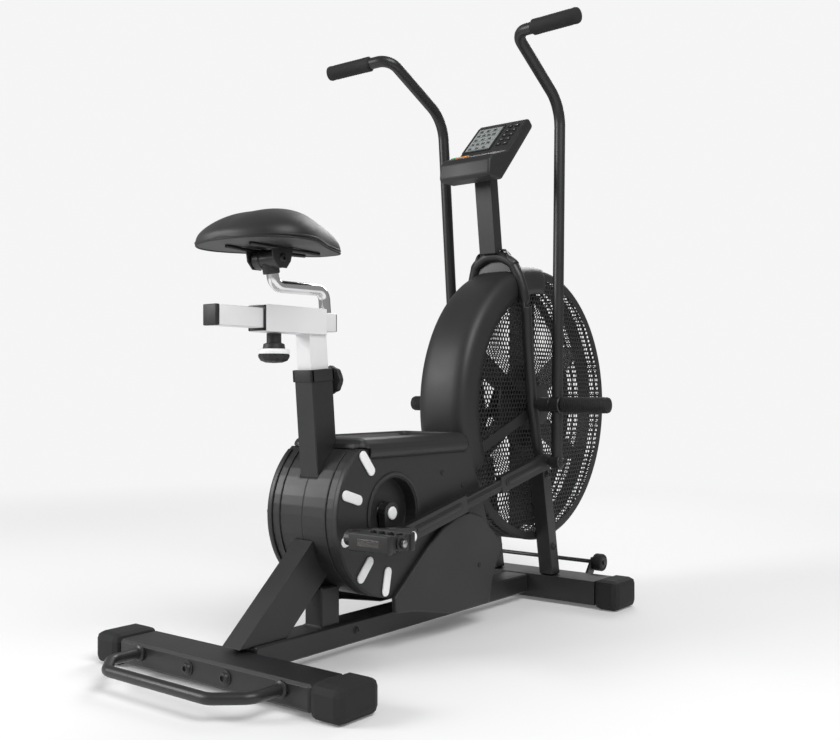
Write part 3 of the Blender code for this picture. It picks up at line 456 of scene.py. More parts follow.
def buildTubes():
    lever = {
        "radius": 0.0125, "bends": (0.085, 0.034), "straight": 0.678, "reach": 0.190, "rise": 0.790,
        "clear": 0.0155, "halfHub": 0.0126,
    }
    grip = {
        "radius": 0.0165, "start": (0.048, -0.197, 0.788), "end": (0.163, -0.211, 0.784), "gap": 0.001,
        "groove": 0.0007, "pitch": 0.0035,
    }
    for side, word, short, turn in sides:
        pin = aboutCrank(0, bike["pinAngle"] + turn, bike["rodThrow"])
        pivot = at(side * bike["leverX"], *bike["pivot"])
        foot = leverFoot(pivot.x, pin)
        lean = math.atan2(foot.y - pivot.y, pivot.z - foot.z)
        pose = Matrix.Translation(pivot) @ Matrix.Rotation(lean, 4, "X")
        corners = [
            (0, 0, lever["clear"]), (0, 0, lever["straight"]), (0, -lever["reach"], lever["rise"]),
            (side * grip["start"][0], *grip["start"][1:]),
        ]
        path = [pose @ point for point in roundedPath(corners, lever["bends"], 14)]
        body = "lever_" + short
        tube(
            f"lever_tube_{word}", path, lever["radius"], "black_paint", body, f"lever_{word}",
            slot="black_paint",
        )
        lower = [pose @ Vector((0, 0, z)) for z in (-lever["clear"], 0.006 - bike["leverArm"])]
        tube(f"lever_shank_{word}", lower, lever["radius"], "black_paint", body)
        for name, spot, size, bore in (("hub", pivot, 0.0200, 0.0112), ("eye", foot, 0.0155, 0.0)):
            end, rim = lever["halfHub"], lever["halfHub"] - 0.0018
            profile = [(bore, -end), (size - 0.002, -end), (size, -rim), (size, rim), (size - 0.002, end)]
            profile.append((bore, end))
            closing = profile[:1] if bore else []
            lathe(f"lever_{name}_{word}", profile + closing, spot, (1, 0, 0), "black_paint", body)
        bolt(f"lever_eye_bolt_{word}", foot + Vector((side * 0.0123, 0, 0)), (side, 0, 0), 0.0085, body)
        near = pose @ Vector((side * (grip["start"][0] + grip["gap"]), *grip["start"][1:]))
        far = pose @ Vector((side * grip["end"][0], *grip["end"][1:]))
        length, radius = (far - near).length, grip["radius"]
        profile = [(0.0, 0.0), (0.0135, 0.0), (radius, 0.003)]
        for step in range(2, 26):
            depth = grip["groove"] if step % 2 else 0.0
            profile.append((radius - depth, 0.010 + grip["pitch"] * step))
        profile += [(radius, length - 0.006), (radius - 0.001, length - 0.002), (radius - 0.004, length)]
        profile.append((0.0, length))
        lathe(f"grip_foam_{word}", profile, near, far - near, gripFoam, body, f"grip_{word}", slot="rubber")
    hoop = [(0.0775, 0.9285, 0.3380), (0.0728, 0.907, 0.460), (0.0740, 0.886, 0.600), (0.0755, 0.877, 0.680)]
    hoop += [(0.0735, 0.869, 0.742), (0.0500, 0.861, 0.786), (0.0180, 0.857, 0.803)]
    path = [at(*p) for p in hoop] + [at(-x, y, z) for x, y, z in reversed(hoop)]
    bends = (0.3, 0.3, 0.3, 0.3, 0.045, 0.04)
    curved = roundedPath(path, bends + bends[::-1], 5)
    tube("hoop", curved, lever["radius"], "black_paint", "frame", "hoop_tube", slot="black_paint")
    handle = {"radius": 0.0095, "bend": 0.03, "z": 0.036, "half": 0.175, "root": 0.0057}
    handle["corners"] = ((handle["half"], handle["root"]), (handle["half"], -0.055), (0.125, -0.098))
    corners = [at(-x, y, handle["z"]) for x, y in handle["corners"]]
    corners += [Vector((-p.x, p.y, p.z)) for p in reversed(corners)]
    tube(
        "lift_bar", roundedPath(corners, (handle["bend"],) * 4, 8), handle["radius"], "black_paint", "frame",
        "lift_handle", slot="black_paint",
    )
    ferrule = [(0.0, 0.0), (0.0140, 0.0), (0.0140, 0.004), (0.0105, 0.0065), (0.0, 0.0065)]
    for side in (1, -1):
        place = at(side * handle["half"], 0.0055, handle["z"])
        lathe(f"lift_weld_{side + 1}", ferrule, place, (0, -1, 0), "black_paint", "frame")
    print("tubes made")


def buildPegs():
    # fixed pegs: a thin journal for the lever's hub, then a ribbed sleeve with a rounded end
    peg = {"ribs": 18, "first": 0.160, "pitch": 0.0056, "outer": 0.0180, "groove": 0.0172}
    profile = [(0.0, 0.0862), (0.0104, 0.0862), (0.0104, 0.1545), (0.0165, 0.1545), (0.0180, 0.1565)]
    for rib in range(peg["ribs"]):
        x = peg["first"] + peg["pitch"] * rib
        profile += [(peg["outer"], x), (peg["outer"], x + 0.0036)]
        profile += [(peg["groove"], x + 0.0041), (peg["groove"], x + 0.0051)]
    profile += [(peg["outer"], 0.2645), (0.0165, 0.2690), (0.0110, 0.2715), (0.0, 0.2718)]
    collar = [(0.0106, 0.0955), (0.0150, 0.0955), (0.0165, 0.097), (0.0165, 0.1235), (0.0150, 0.125)]
    collar.append((0.0106, 0.125))
    pivot = at(0, *bike["pivot"])
    for side, word, short, turn in sides:
        lathe(
            f"peg_sleeve_{word}", profile, pivot, (side, 0, 0), "rubber", "frame", f"foot_peg_{word}",
            slot="rubber",
        )
        lathe(f"peg_collar_{word}", collar, pivot, (side, 0, 0), "black_paint", "frame")
    print("pegs made")


# ---- cage: perforated sheet with real holes


def thicken(obj, thickness):
    wall = obj.modifiers.new("sheet", "SOLIDIFY")
    wall.thickness, wall.offset = thickness, 0


def hexSheet(name, inner, outer, pitch, hole, x, thick, body, node):
    # hexagonal cells, each with a round hole, between two radii; the border and the centre hide the ends
    y0, z0 = at(0, *bike["fan"]).yz
    bm = bmesh.new()
    shared = {}

    def corner(y, z):
        key = (round(y, 5), round(z, 5))
        if key not in shared:
            shared[key] = bm.verts.new((x, y0 + y, z0 + z))
        return shared[key]

    rowStep = pitch * math.sqrt(3) / 2
    count = int(outer / rowStep) + 1
    for row in range(-count, count + 1):
        for column in range(-count, count + 1):
            cy = (column + (row % 2) / 2) * pitch
            cz = row * rowStep
            if not inner < math.hypot(cy, cz) < outer - pitch / 3:
                continue
            reach = pitch / math.sqrt(3)
            rim = []
            for k in range(6):
                a, b = math.radians(60 * k + 30), math.radians(60 * k + 90)
                ay, az = cy + reach * math.cos(a), cz + reach * math.sin(a)
                by, bz = cy + reach * math.cos(b), cz + reach * math.sin(b)
                rim += [corner(ay, az), corner((ay + by) / 2, (az + bz) / 2)]
            ring = [
                bm.verts.new((x, y0 + cy + hole * math.cos(math.radians(30 * k + 30)),
                              z0 + cz + hole * math.sin(math.radians(30 * k + 30))))
                for k in range(12)
            ]
            for k in range(12):
                bm.faces.new((rim[k], rim[(k + 1) % 12], ring[(k + 1) % 12], ring[k]))
    bmesh.ops.recalc_face_normals(bm, faces=bm.faces)
    made = bpy.data.meshes.new(name)
    bm.to_mesh(made)
    bm.free()
    obj = piece(name, made, "perforated_steel", body, node, slot="perforated_steel")
    thicken(obj, thick)


def buildCage():
    sheet = {"inner": 0.034, "outer": 0.312, "pitch": 0.0115, "hole": 0.0048, "x": 0.0535, "thick": 0.0012}
    border = [(0.2975, 0.0522), (0.3125, 0.0500), (0.3165, 0.0506), (0.3165, 0.0530), (0.3120, 0.0558)]
    border += [(0.2975, 0.0546), (0.2975, 0.0522)]
    boss = [(0.0, 0.0520), (0.046, 0.0520), (0.046, 0.0546), (0.041, 0.0553), (0.0, 0.0553)]
    nut = [(0.0, 0.0600), (0.0140, 0.0600), (0.0140, 0.0618), (0.0098, 0.0625), (0.0090, 0.0680)]
    nut.append((0.0, 0.0690))
    centre = at(0, *bike["fan"])
    for side, word, short, turn in sides:
        hexSheet(
            f"cage_mesh_{word}", sheet["inner"], sheet["outer"], sheet["pitch"], sheet["hole"],
            side * sheet["x"], sheet["thick"], "frame", f"cage_panel_{word}",
        )
        out = (side, 0, 0)
        lathe(f"cage_border_{word}", border, centre, out, "perforated_steel", "frame", steps=96)
        lathe(f"cage_centre_{word}", boss, centre, out, "perforated_steel", "frame", steps=48)
        lathe(f"fan_nut_{word}", nut, centre, out, "raw_steel", "frame", steps=12)
    rim = {
        "radius": 0.3152, "start": -148.0, "sweep": 234.0, "columns": 108, "solid": 0.015, "row": 0.0325,
        "edge": 0.0495, "marginX": 0.16, "marginTurn": 0.20, "thick": 0.0014,
    }
    bm = bmesh.new()

    def spot(column, x):
        angle = math.radians(rim["start"] + rim["sweep"] * column / rim["columns"])
        along, up = rim["radius"] * math.cos(angle), rim["radius"] * math.sin(angle)
        return bm.verts.new((x, centre.y + along, centre.z + up))

    rows = [-rim["edge"], -rim["row"], -rim["solid"], rim["solid"], rim["row"], rim["edge"]]
    for column in range(rim["columns"]):
        for low, high in zip(rows, rows[1:]):
            outer = [spot(column, low), spot(column + 1, low), spot(column + 1, high), spot(column, high)]
            if low == -rim["solid"]:
                bm.faces.new(outer)
                continue
            inX, inC = (high - low) * rim["marginX"], rim["marginTurn"]
            hole = [spot(column + inC, low + inX), spot(column + 1 - inC, low + inX),
                    spot(column + 1 - inC, high - inX), spot(column + inC, high - inX)]
            for k in range(4):
                bm.faces.new((outer[k], outer[(k + 1) % 4], hole[(k + 1) % 4], hole[k]))
    bmesh.ops.remove_doubles(bm, verts=bm.verts, dist=0.00005)
    made = smoothMesh("cage_band", bm, 40)
    band = piece("cage_band", made, "perforated_steel", "frame", "cage_rim", slot="perforated_steel")
    thicken(band, rim["thick"])
    print("cage made")


# ---- drive housing trim, cranks, pedals and rods


def buildHousingTrim():
    insert = {"angles": (129, 162, 195, 228, 259), "inner": 0.1095, "outer": 0.1455, "half": 0.0095}
    insert["proud"] = 0.0034
    x, gap = bike["coverX"], 0.0003
    bands = (("lip", 0.1605, 0.0765, 0.0112), ("seam", 0.1598, 0.0560, 0.0030))  # outer radius, x, width
    cover = {"radius": 0.1580, "start": 131, "end": 246, "steps": 40}
    dish = [(0.0705, 0.0), (0.0760, 0.0), (0.0790, 0.0012), (0.0780, 0.0022), (0.0730, 0.0024)]
    dish += [(0.0705, 0.0010), (0.0705, 0.0)]
    screw = [(0.0, 0.0), (0.0052, 0.0), (0.0052, 0.0008), (0.0042, 0.0016), (0.0020, 0.0018)]
    screw += [(0.0016, 0.0008), (0.0, 0.0006)]
    screws = ((0, 0.0002, 0.540, 0.330), (1, 0.0002, 0.610, 0.300), (3, 0.0117, 0.655, 0.130))
    centre = at(0, *bike["crank"])
    for side, word, short, turn in sides:
        out = (side, 0, 0)
        for number, degrees in enumerate(insert["angles"]):
            near, far = aboutCrank(0, degrees, insert["inner"]), aboutCrank(0, degrees, insert["outer"])
            replaced = (f"slot_inserts_{word}",) if number == 0 else ()
            ends = sorted((side * (x + gap), side * (x + gap + insert["proud"])))
            slab(
                f"slot_insert_{word}_{number}", lozenge(near, far, insert["half"]), *ends, 0.0012,
                "white_plastic", "frame", *replaced, slot="white_plastic",
            )
        for name, edge, start, width in bands:
            arcs = [
                arcPoints((centre.y, centre.z), radius, cover["start"], cover["end"], cover["steps"])
                for radius in (cover["radius"], edge)
            ]
            ends = sorted((side * start, side * (start + width)))
            slab(f"cover_{name}_{word}", arcs[0] + arcs[1][::-1], *ends, 0.0008, "housing_plastic", "frame")
        place = at(side * x, *bike["crank"])
        lathe(f"cover_ring_{word}", dish, place, out, "housing_plastic", "frame", steps=72)
        for number, lift, y, z in screws:
            place = at(side * (x + lift), y, z)
            lathe(f"cover_screw_{word}_{number}", screw, place, out, "black_plastic", "frame", steps=20)
    print("housing trim made")


def buildCranks():
    pedal = {"inner": 0.1500, "outer": 0.2400, "halfY": 0.036, "halfZ": 0.016, "webs": 5, "halfWeb": 0.003}
    webs = (("rear", -pedal["halfY"] + 0.008, -0.0125), ("front", 0.0125, pedal["halfY"] - 0.008))
    cap = [(0.0, 0.0), (0.0125, 0.0), (0.0125, 0.0020), (0.0105, 0.0036), (0.0, 0.0042)]
    smallCap = [(radius * 0.82, height) for radius, height in cap]
    barrel = [(0.0082, -0.045), (0.0130, -0.045), (0.0135, -0.040), (0.0118, -0.030), (0.0118, 0.030)]
    barrel += [(0.0135, 0.040), (0.0130, 0.045), (0.0082, 0.045), (0.0082, -0.045)]
    nut = [(0.0, 0.0), (0.0062, 0.0), (0.0062, 0.0028), (0.0050, 0.0036), (0.0, 0.0036)]
    for side, word, short, turn in sides:
        out = (side, 0, 0)
        pin = aboutCrank(side * 0.1332, bike["pinAngle"] + turn, bike["rodThrow"])
        end = aboutCrank(0, bike["pedalAngle"] + turn, bike["crankLength"])
        middle = at(side * 0.0824, *bike["crank"])
        lathe(f"crank_cap_{word}", cap, middle, out, "white_plastic", "crankset")
        lathe(f"pin_cap_{word}", smallCap, pin, out, "white_plastic", "crankset")
        body = "pedal_" + short
        xs = sorted((side * pedal["inner"], side * pedal["outer"]))
        halfway = (xs[0] + xs[1]) / 2
        for number, dy in enumerate((-1, 1)):
            y = end.y + dy * (pedal["halfY"] - 0.006)
            replaced = (f"pedal_{word}",) if number == 0 else ()
            block(
                f"pedal_rail_{word}_{number}", (xs[0], y - 0.006, end.z - pedal["halfZ"]),
                (xs[1], y + 0.006, end.z + pedal["halfZ"]), 0.003, "black_plastic", body, *replaced,
                slot="black_plastic" if replaced else None,
            )
            face = end.y + dy * (pedal["halfY"] + 0.0002)
            faces = sorted((face, face - dy * 0.002))
            block(
                f"pedal_reflector_{word}_{number}", (halfway - 0.024, faces[0], end.z - 0.0065),
                (halfway + 0.024, faces[1], end.z + 0.0065), 0.0008, "reflector", body,
            )
        place = Vector((halfway, end.y, end.z))
        lathe(f"pedal_barrel_{word}", barrel, place, (1, 0, 0), "black_plastic", body)
        for number in range(pedal["webs"]):
            x = xs[0] + 0.006 + number * (xs[1] - xs[0] - 0.012) / (pedal["webs"] - 1)
            for where, low, high in webs:
                near = (x - pedal["halfWeb"], end.y + low, end.z - 0.0135)
                far = (x + pedal["halfWeb"], end.y + high, end.z + 0.0135)
                block(f"pedal_web_{word}_{number}_{where}", near, far, 0.001, "black_plastic", body)
        place = Vector((side * 0.2432, end.y, end.z))
        lathe(f"pedal_nut_{word}", nut, place, out, "raw_steel", "crankset", steps=12)
    print("cranks and pedals dressed")


def buildRodTrim():
    # panels along the rod: start, end, half width and how far out the face is
    panels = ((0.035, 0.180, 0.0085, 0.1171), (0.360, 0.490, 0.0085, 0.1171), (0.205, 0.335, 0.0060, 0.1156))
    rod = {"proud": 0.0011, "inset": 0.004, "rib": 0.0042, "collarX": 0.1171}
    collar = [(0.0106, 0.0), (0.0165, 0.0), (0.0165, 0.0012), (0.0150, 0.0022), (0.0106, 0.0022)]
    collar.append(collar[0])
    for side, word, short, turn in sides:
        pin = aboutCrank(0, bike["pinAngle"] + turn, bike["rodThrow"])
        foot = leverFoot(0, pin)
        along = (foot - pin).normalized()
        body = "rod_" + short
        for number, (start, end, half, face) in enumerate(panels):
            outer = lozenge(pin + along * start, pin + along * end, half)
            ends = sorted((side * face, side * (face + rod["proud"])))
            slab(f"rod_panel_{word}_{number}", outer, *ends, 0.0005, "black_plastic", body)
            near, far = pin + along * (start + rod["inset"]), pin + along * (end - rod["inset"])
            ends = sorted((side * (face + rod["proud"]), side * (face + 2 * rod["proud"])))
            rib = lozenge(near, far, half - rod["rib"])
            slab(f"rod_rib_{word}_{number}", rib, *ends, 0.0004, "black_paint", body)
        place = pin + Vector((side * rod["collarX"], 0, 0))
        lathe(f"rod_collar_{word}", collar, place, (side, 0, 0), "raw_steel", body)
    print("rods dressed")


# ---- seat


def buildSaddle():
    # rear to nose: share of the length, half width, share of the height, lift; a subdivision rounds it
    saddle = {"rear": 0.034, "nose": 0.312, "rim": 0.7475, "top": 0.811, "ribs": 12}
    stations = [
        (0.000, 0.026, 0.10, 0.002), (0.020, 0.058, 0.26, 0.001), (0.08, 0.094, 0.52, 0.0),
        (0.17, 0.116, 0.76, 0.0), (0.28, 0.1245, 0.93, 0.0), (0.40, 0.1180, 1.01, 0.0),
        (0.52, 0.0980, 1.02, 0.0), (0.64, 0.0760, 0.94, 0.0), (0.77, 0.0580, 0.79, 0.0),
        (0.88, 0.0460, 0.60, 0.0), (0.965, 0.0320, 0.38, 0.001), (1.000, 0.0140, 0.16, 0.002),
    ]
    underside = ((-0.90, 0.0002), (-0.45, -0.0012), (0.45, -0.0012), (0.90, 0.0002))  # half width share, z
    edges = (  # name, finish, share of the width, height over the rim, radius
        ("piping", "saddle_vinyl", 1.0, 0.0055, 0.0017),
        ("base_edge", "black_plastic", 0.975, 0.0012, 0.0022),
    )
    bm = bmesh.new()
    rows = []
    for share, half, rise, lift in stations:
        y = at(0, saddle["rear"] + share * (saddle["nose"] - saddle["rear"]), 0).y
        height = (saddle["top"] - saddle["rim"]) * rise
        row = []
        for rib in range(saddle["ribs"] + 1):
            angle = math.pi * rib / saddle["ribs"]
            across, up = math.cos(angle), math.sin(angle)
            channel = 0.0045 * math.exp(-((half * across / 0.014) ** 2)) * min(1, rise) if share < 0.8 else 0
            z = saddle["rim"] + lift + 0.006 * min(1, up * 4) + height * 0.97 * up**1.05 - channel
            row.append(bm.verts.new((half * across, y, z)))
        for inset, raised in underside:
            row.append(bm.verts.new((half * inset, y, saddle["rim"] + lift + raised)))
        rows.append(row)
    around = len(rows[0])
    for near, far in zip(rows, rows[1:]):
        for i in range(around):
            j = (i + 1) % around
            bm.faces.new((near[i], near[j], far[j], far[i]))
    bm.faces.new(rows[0])
    bm.faces.new(rows[-1])
    obj = piece(
        "saddle_cushion", smoothMesh("saddle_cushion", bm, 80), "saddle_vinyl", "saddle_top", "saddle",
        slot="saddle_vinyl",
    )
    rounder = obj.modifiers.new("rounder", "SUBSURF")
    rounder.levels = rounder.render_levels = 3
    for name, paint, scale, over, radius in edges:
        edge = []
        for share, half, rise, lift in stations:
            y = at(0, saddle["rear"] + 0.003 + share * (saddle["nose"] - saddle["rear"] - 0.006), 0).y
            edge.append(Vector((half * scale, y, saddle["rim"] + over + lift * 0.6)))
        loop = edge + [Vector((-p.x, p.y, p.z)) for p in reversed(edge)]
        curve = bpy.data.curves.new("saddle_" + name, "CURVE")
        curve.dimensions = "3D"
        curve.bevel_depth, curve.bevel_resolution = radius, 3
        spline = curve.splines.new("NURBS")
        spline.points.add(len(loop) - 1)
        for target, point in zip(spline.points, loop):
            target.co = (*point, 1)
        spline.use_cyclic_u = True
        spline.order_u = 3
        curve.resolution_u = 6
        piece("saddle_" + name, curve, paint, "saddle_top")
    rail = ((0.030, 0.075, 0.7440), (0.032, 0.120, 0.7425), (0.028, 0.180, 0.7425), (0.018, 0.255, 0.7440))
    for side in (1, -1):
        path = [at(side * x, y, z) for x, y, z in rail]
        tube(f"saddle_rail_{side + 1}", path, 0.0032, "black_paint", "saddle_top")
    print("saddle made")


def buildSeatParts():
    seat = {
        "post": ((0.291, 0.6395), (0.287, 0.682), (0.160, 0.680), (0.1485, 0.735)), "postBend": 0.020,
        "postRadius": 0.0110, "clamp": (0.148, 0.7265), "clampEnd": 0.0300, "knobY": 0.1593,
    }
    corners = [at(0, y, z) for y, z in seat["post"]]
    post = roundedPath(corners, (seat["postBend"],) * 2, 12)
    tube("saddle_post_bar", post, seat["postRadius"], "chrome", "slider", "saddle_post", slot="chrome")
    clamp = [
        (0.0, -0.0300), (0.0150, -0.0300), (0.0175, -0.0280), (0.0175, -0.0120), (0.0158, -0.0105),
        (0.0158, 0.0105), (0.0175, 0.0120), (0.0175, 0.0280), (0.0150, 0.0300), (0.0, 0.0300),
    ]
    lathe(
        "saddle_clamp_barrel", clamp, at(0, *seat["clamp"]), (1, 0, 0), "black_paint", "slider",
        "saddle_clamp", slot="black_paint",
    )
    collar = [(0.0111, -0.010), (0.0142, -0.010), (0.0150, -0.008), (0.0150, 0.008), (0.0111, 0.008)]
    collar.append(collar[0])
    lathe("saddle_clamp_collar", collar, at(0, 0.1515, 0.7110), (0, -0.20, 1), "black_paint", "slider")
    plate = [(0.122, 0.746), (0.126, 0.722), (0.138, 0.709), (0.158, 0.709), (0.168, 0.722), (0.174, 0.746)]
    outline = [tuple(at(0, y, z).yz) for y, z in plate]
    for side in (1, -1):
        ends = sorted((side * 0.0304, side * 0.0340))
        slab(f"saddle_bracket_{side + 1}", outline, *ends, 0.0012, "black_paint", "saddle_top")
    for side in (1, -1):
        place = at(side * seat["clampEnd"], *seat["clamp"])
        bolt(f"clamp_nut_{side + 1}", place, (side, 0, 0), 0.0080, "slider")
    block(
        "slider_rail", at(-0.0160, 0.0200, 0.6042), at(0.0160, 0.3050, 0.6388), 0.0022, "silver_paint",
        "slider", "slider_bar", slot="silver_steel",
    )
    plugs = (
        ("end", (-0.0165, 0.0120, 0.6037), (0.0165, 0.0205, 0.6393), 0.0018),
        ("front", (-0.0150, 0.3045, 0.6052), (0.0150, 0.3075, 0.6378), 0.0012),
    )
    for name, low, high, bevel in plugs:
        block(f"slider_{name}_plug", at(*low), at(*high), bevel, "black_plastic", "slider")
    mouth = 0.1202
    for name, low, high in (
        ("top", (-0.0215, mouth - 0.0022, 0.6392), (0.0215, mouth + 0.004, 0.6436)),
        ("bottom", (-0.0215, mouth - 0.0022, 0.5994), (0.0215, mouth + 0.004, 0.6038)),
        ("right", (0.0163, mouth - 0.0022, 0.5994), (0.0215, mouth + 0.004, 0.6436)),
        ("left", (-0.0215, mouth - 0.0022, 0.5994), (-0.0163, mouth + 0.004, 0.6436)),
    ):
        block(f"sleeve_bush_{name}", at(*low), at(*high), 0.0008, "black_plastic", "seatpost")
    neck = [(0.0, 0.5965), (0.0130, 0.5965), (0.0130, 0.5800), (0.0185, 0.5775), (0.0200, 0.5690)]
    neck.append((0.0, 0.5690))
    ring = [(0.0, 0.5690), (0.0235, 0.5690), (0.0268, 0.5675), (0.0280, 0.5640), (0.0275, 0.5600)]
    ring.append((0.0, 0.5600))
    dome = [(0.0, 0.5600), (0.0262, 0.5600), (0.0285, 0.5580), (0.0278, 0.5535), (0.0235, 0.5480)]
    dome += [(0.0150, 0.5448), (0.0, 0.5438)]
    axle = at(0, seat["knobY"], 0)
    lathe(
        "slider_knob_neck", neck, axle, (0, 0, 1), "black_plastic", "sliderknob", "slider_knob",
        slot="black_plastic",
    )
    lathe("slider_knob_ring", ring, axle, (0, 0, 1), "white_plastic", "sliderknob")
    lathe(
        "slider_knob_dome", dome, axle, (0, 0, 1), "black_plastic", "sliderknob", steps=72, lobes=12,
        lobeDepth=0.0012,
    )
    pull = [(0.0, 0.0), (0.0110, 0.0), (0.0110, 0.0095), (0.0175, 0.0110), (0.0262, 0.0135)]
    pull += [(0.0275, 0.0165), (0.0270, 0.0225), (0.0215, 0.0280), (0.0120, 0.0298), (0.0, 0.0300)]
    lathe(
        "height_knob", pull, at(0, 0.2893, 0.515), (0, 1, 0), "black_plastic", "seatknob", "seat_knob",
        slot="black_plastic", steps=72, lobes=8, lobeDepth=0.0022,
    )
    # the collar round the seat tube's mouth, which leans with the tube
    mouthPlace = Matrix.Translation(at(0, 0.2588, 0.5325)) @ Matrix.Rotation(math.radians(4.8), 4, "X")
    outX, inX, outY, inY, low, high = 0.0250, 0.0186, 0.0292, 0.0236, -0.020, 0.0022
    for name, near, far in (
        ("front", (-outX, inY, low), (outX, outY, high)),
        ("rear", (-outX, -outY, low), (outX, -inY, high)),
        ("right", (inX, -outY, low), (outX, outY, high)),
        ("left", (-outX, -outY, low), (-inX, outY, high)),
    ):
        block(f"seat_collar_{name}", near, far, 0.0012, "black_plastic", "frame", place=mouthPlace)
    print("seat parts made")


# ---- console


def buildConsole():
    lower, upper = at(0, 0.812, 1.032), at(0, 0.902, 1.122)
    slope = (upper - lower).normalized()
    out = Vector((0, -slope.z, slope.y))
    middle = (lower + upper) / 2
    turn = Matrix(((1, 0, 0), (0, slope.y, out.y), (0, slope.z, out.z))).to_4x4()
    face = Matrix.Translation(middle) @ turn
    outline = [(0.736, 0.962), (0.740, 1.000), (0.752, 1.013), (0.812, 1.032), (0.902, 1.122)]
    outline += [(0.922, 1.106), (0.838, 1.014), (0.790, 0.962)]
    ring = [(0, y - bike["middleY"], z) for y, z in outline]
    radii = (0.010, 0.009, 0.009, 0.006, 0.007, 0.009, 0.020, 0.012)
    curved = roundedPath([ring[-1], *ring, ring[0]], radii, 6)[1:-1]
    slab(
        "console_shell", [(p.y, p.z) for p in curved], -0.068, 0.068, 0.0055, "housing_plastic", "frame",
        "console_body", slot="black_plastic",
    )
    bezel = {"x": -0.026, "halfX": 0.0385, "halfY": 0.0500, "width": 0.0045, "proud": 0.0016}
    x0, x1 = bezel["x"] - bezel["halfX"], bezel["x"] + bezel["halfX"]
    for name, low, high in (
        ("top", (x0, bezel["halfY"] - bezel["width"], 0.0002), (x1, bezel["halfY"], bezel["proud"])),
        ("bottom", (x0, -bezel["halfY"], 0.0002), (x1, -bezel["halfY"] + bezel["width"], bezel["proud"])),
        ("left", (x0, -bezel["halfY"], 0.0002), (x0 + bezel["width"], bezel["halfY"], bezel["proud"])),
        ("right", (x1 - bezel["width"], -bezel["halfY"], 0.0002), (x1, bezel["halfY"], bezel["proud"])),
    ):
        block(f"bezel_{name}", low, high, 0.0005, "black_plastic", "frame", place=face)

    def mark(name, x, y, halfX, halfY, z, bevel, paint):
        # a small block on the face: its middle, its half sizes, its depths and its bevel
        low, high = (x - halfX, y - halfY, z[0]), (x + halfX, y + halfY, z[1])
        block(name, low, high, bevel, paint, "frame", place=face)

    inkZ = (0.0004, 0.0007)
    for row in range(5):  # plain bars and blocks stand for the display's fields
        y = 0.036 - row * 0.0175
        mark(f"screen_line_{row}", -0.026, y - 0.0073, 0.029, 0.0003, inkZ, 0.0001, "screen_ink")
        for column in range(4 if row % 2 else 3):
            x = -0.0535 + column * (0.0140 if row % 2 else 0.0190)
            name = f"screen_block_{row}_{column}"
            mark(name, x + 0.00425, y - 0.00075, 0.00425, 0.00375, inkZ, 0.0001, "screen_ink")
    for row in range(5):
        for column in range(2):
            x, y = 0.029 + column * 0.018, 0.038 - row * 0.018
            mark(f"keypad_{row}_{column}", x, y, 0.0062, 0.0048, (0.0001, 0.0016), 0.0007, "rubber")
            name = f"key_mark_{row}_{column}"
            mark(name, x, y, 0.0022, 0.0006, (0.0015, 0.0018), 0.0001, "white_plastic")
    near, far = at(0, 0.752, 1.013), at(0, 0.812, 1.032)
    along = (far - near).normalized()
    up = Vector((0, -along.z, along.y))
    turn = Matrix(((1, 0, 0), (0, along.y, up.y), (0, along.z, up.z))).to_4x4()
    lobe = Matrix.Translation(near + (far - near) * 0.55) @ turn
    for name, x, y, halfX, halfY, colour in (
        ("start", -0.036, 0.0, 0.015, 0.006, "orange"), ("stop", -0.058, 0.0068, 0.005, 0.004, "red"),
        ("mode", -0.058, -0.0068, 0.005, 0.004, "green"),
    ):
        block(
            f"key_{name}", (x - halfX, y - halfY, -0.0013), (x + halfX, y + halfY, 0.0023), 0.0012,
            colour + "_key", name + "_key", name + "_button", slot=colour, place=lobe,
        )
    print("console dressed")


# ---- bolts, wheels, shroud, gusset and cover knobs


def buildFasteners():
    wheel = {
        "centre": (0.151, 1.086, 0.083),
        "hub": [(0.0054, -0.0112), (0.0125, -0.0112), (0.0135, -0.0096), (0.0135, 0.0096)],
        "tyre": [(0.0130, -0.0105), (0.0190, -0.0105), (0.0205, -0.0080), (0.0205, 0.0080)],
    }
    wheel["hub"] += [(0.0125, 0.0112), (0.0054, 0.0112), (0.0054, -0.0112)]
    wheel["tyre"] += [(0.0190, 0.0105), (0.0130, 0.0105), (0.0130, -0.0105)]
    for x in (-0.047, 0.047):
        bolt(f"rear_bolt_{'left' if x < 0 else 'right'}", at(x, 0.0058, 0.031), (0, -1, 0), 0.0095, "frame")
    for side, word, short, turn in sides:
        out, body = (side, 0, 0), f"wheel_{short}"
        bolt(f"column_bolt_low_{word}", at(side * 0.0952, 0.965, 0.130), out, 0.0070, "frame")
        bolt(f"column_bolt_high_{word}", at(side * 0.0952, 0.938, 0.300), out, 0.0070, "frame")
        bolt(f"beam_bolt_{word}", at(side * 0.0302, 0.345, 0.042), out, 0.0052, "frame")
        bolt(f"hoop_bolt_{word}", at(side * 0.0270, 0.8585, 0.8135), (0, 0, 1), 0.0060, "frame")
        place = at(side * wheel["centre"][0], *wheel["centre"][1:])
        lathe(f"wheel_hub_{word}", wheel["hub"], place, out, "black_plastic", body)
        lathe(
            f"wheel_tyre_{word}", wheel["tyre"], place, out, tyreRubber, body, f"transport_wheel_{word}",
            slot="rubber",
        )
    print("fasteners made")


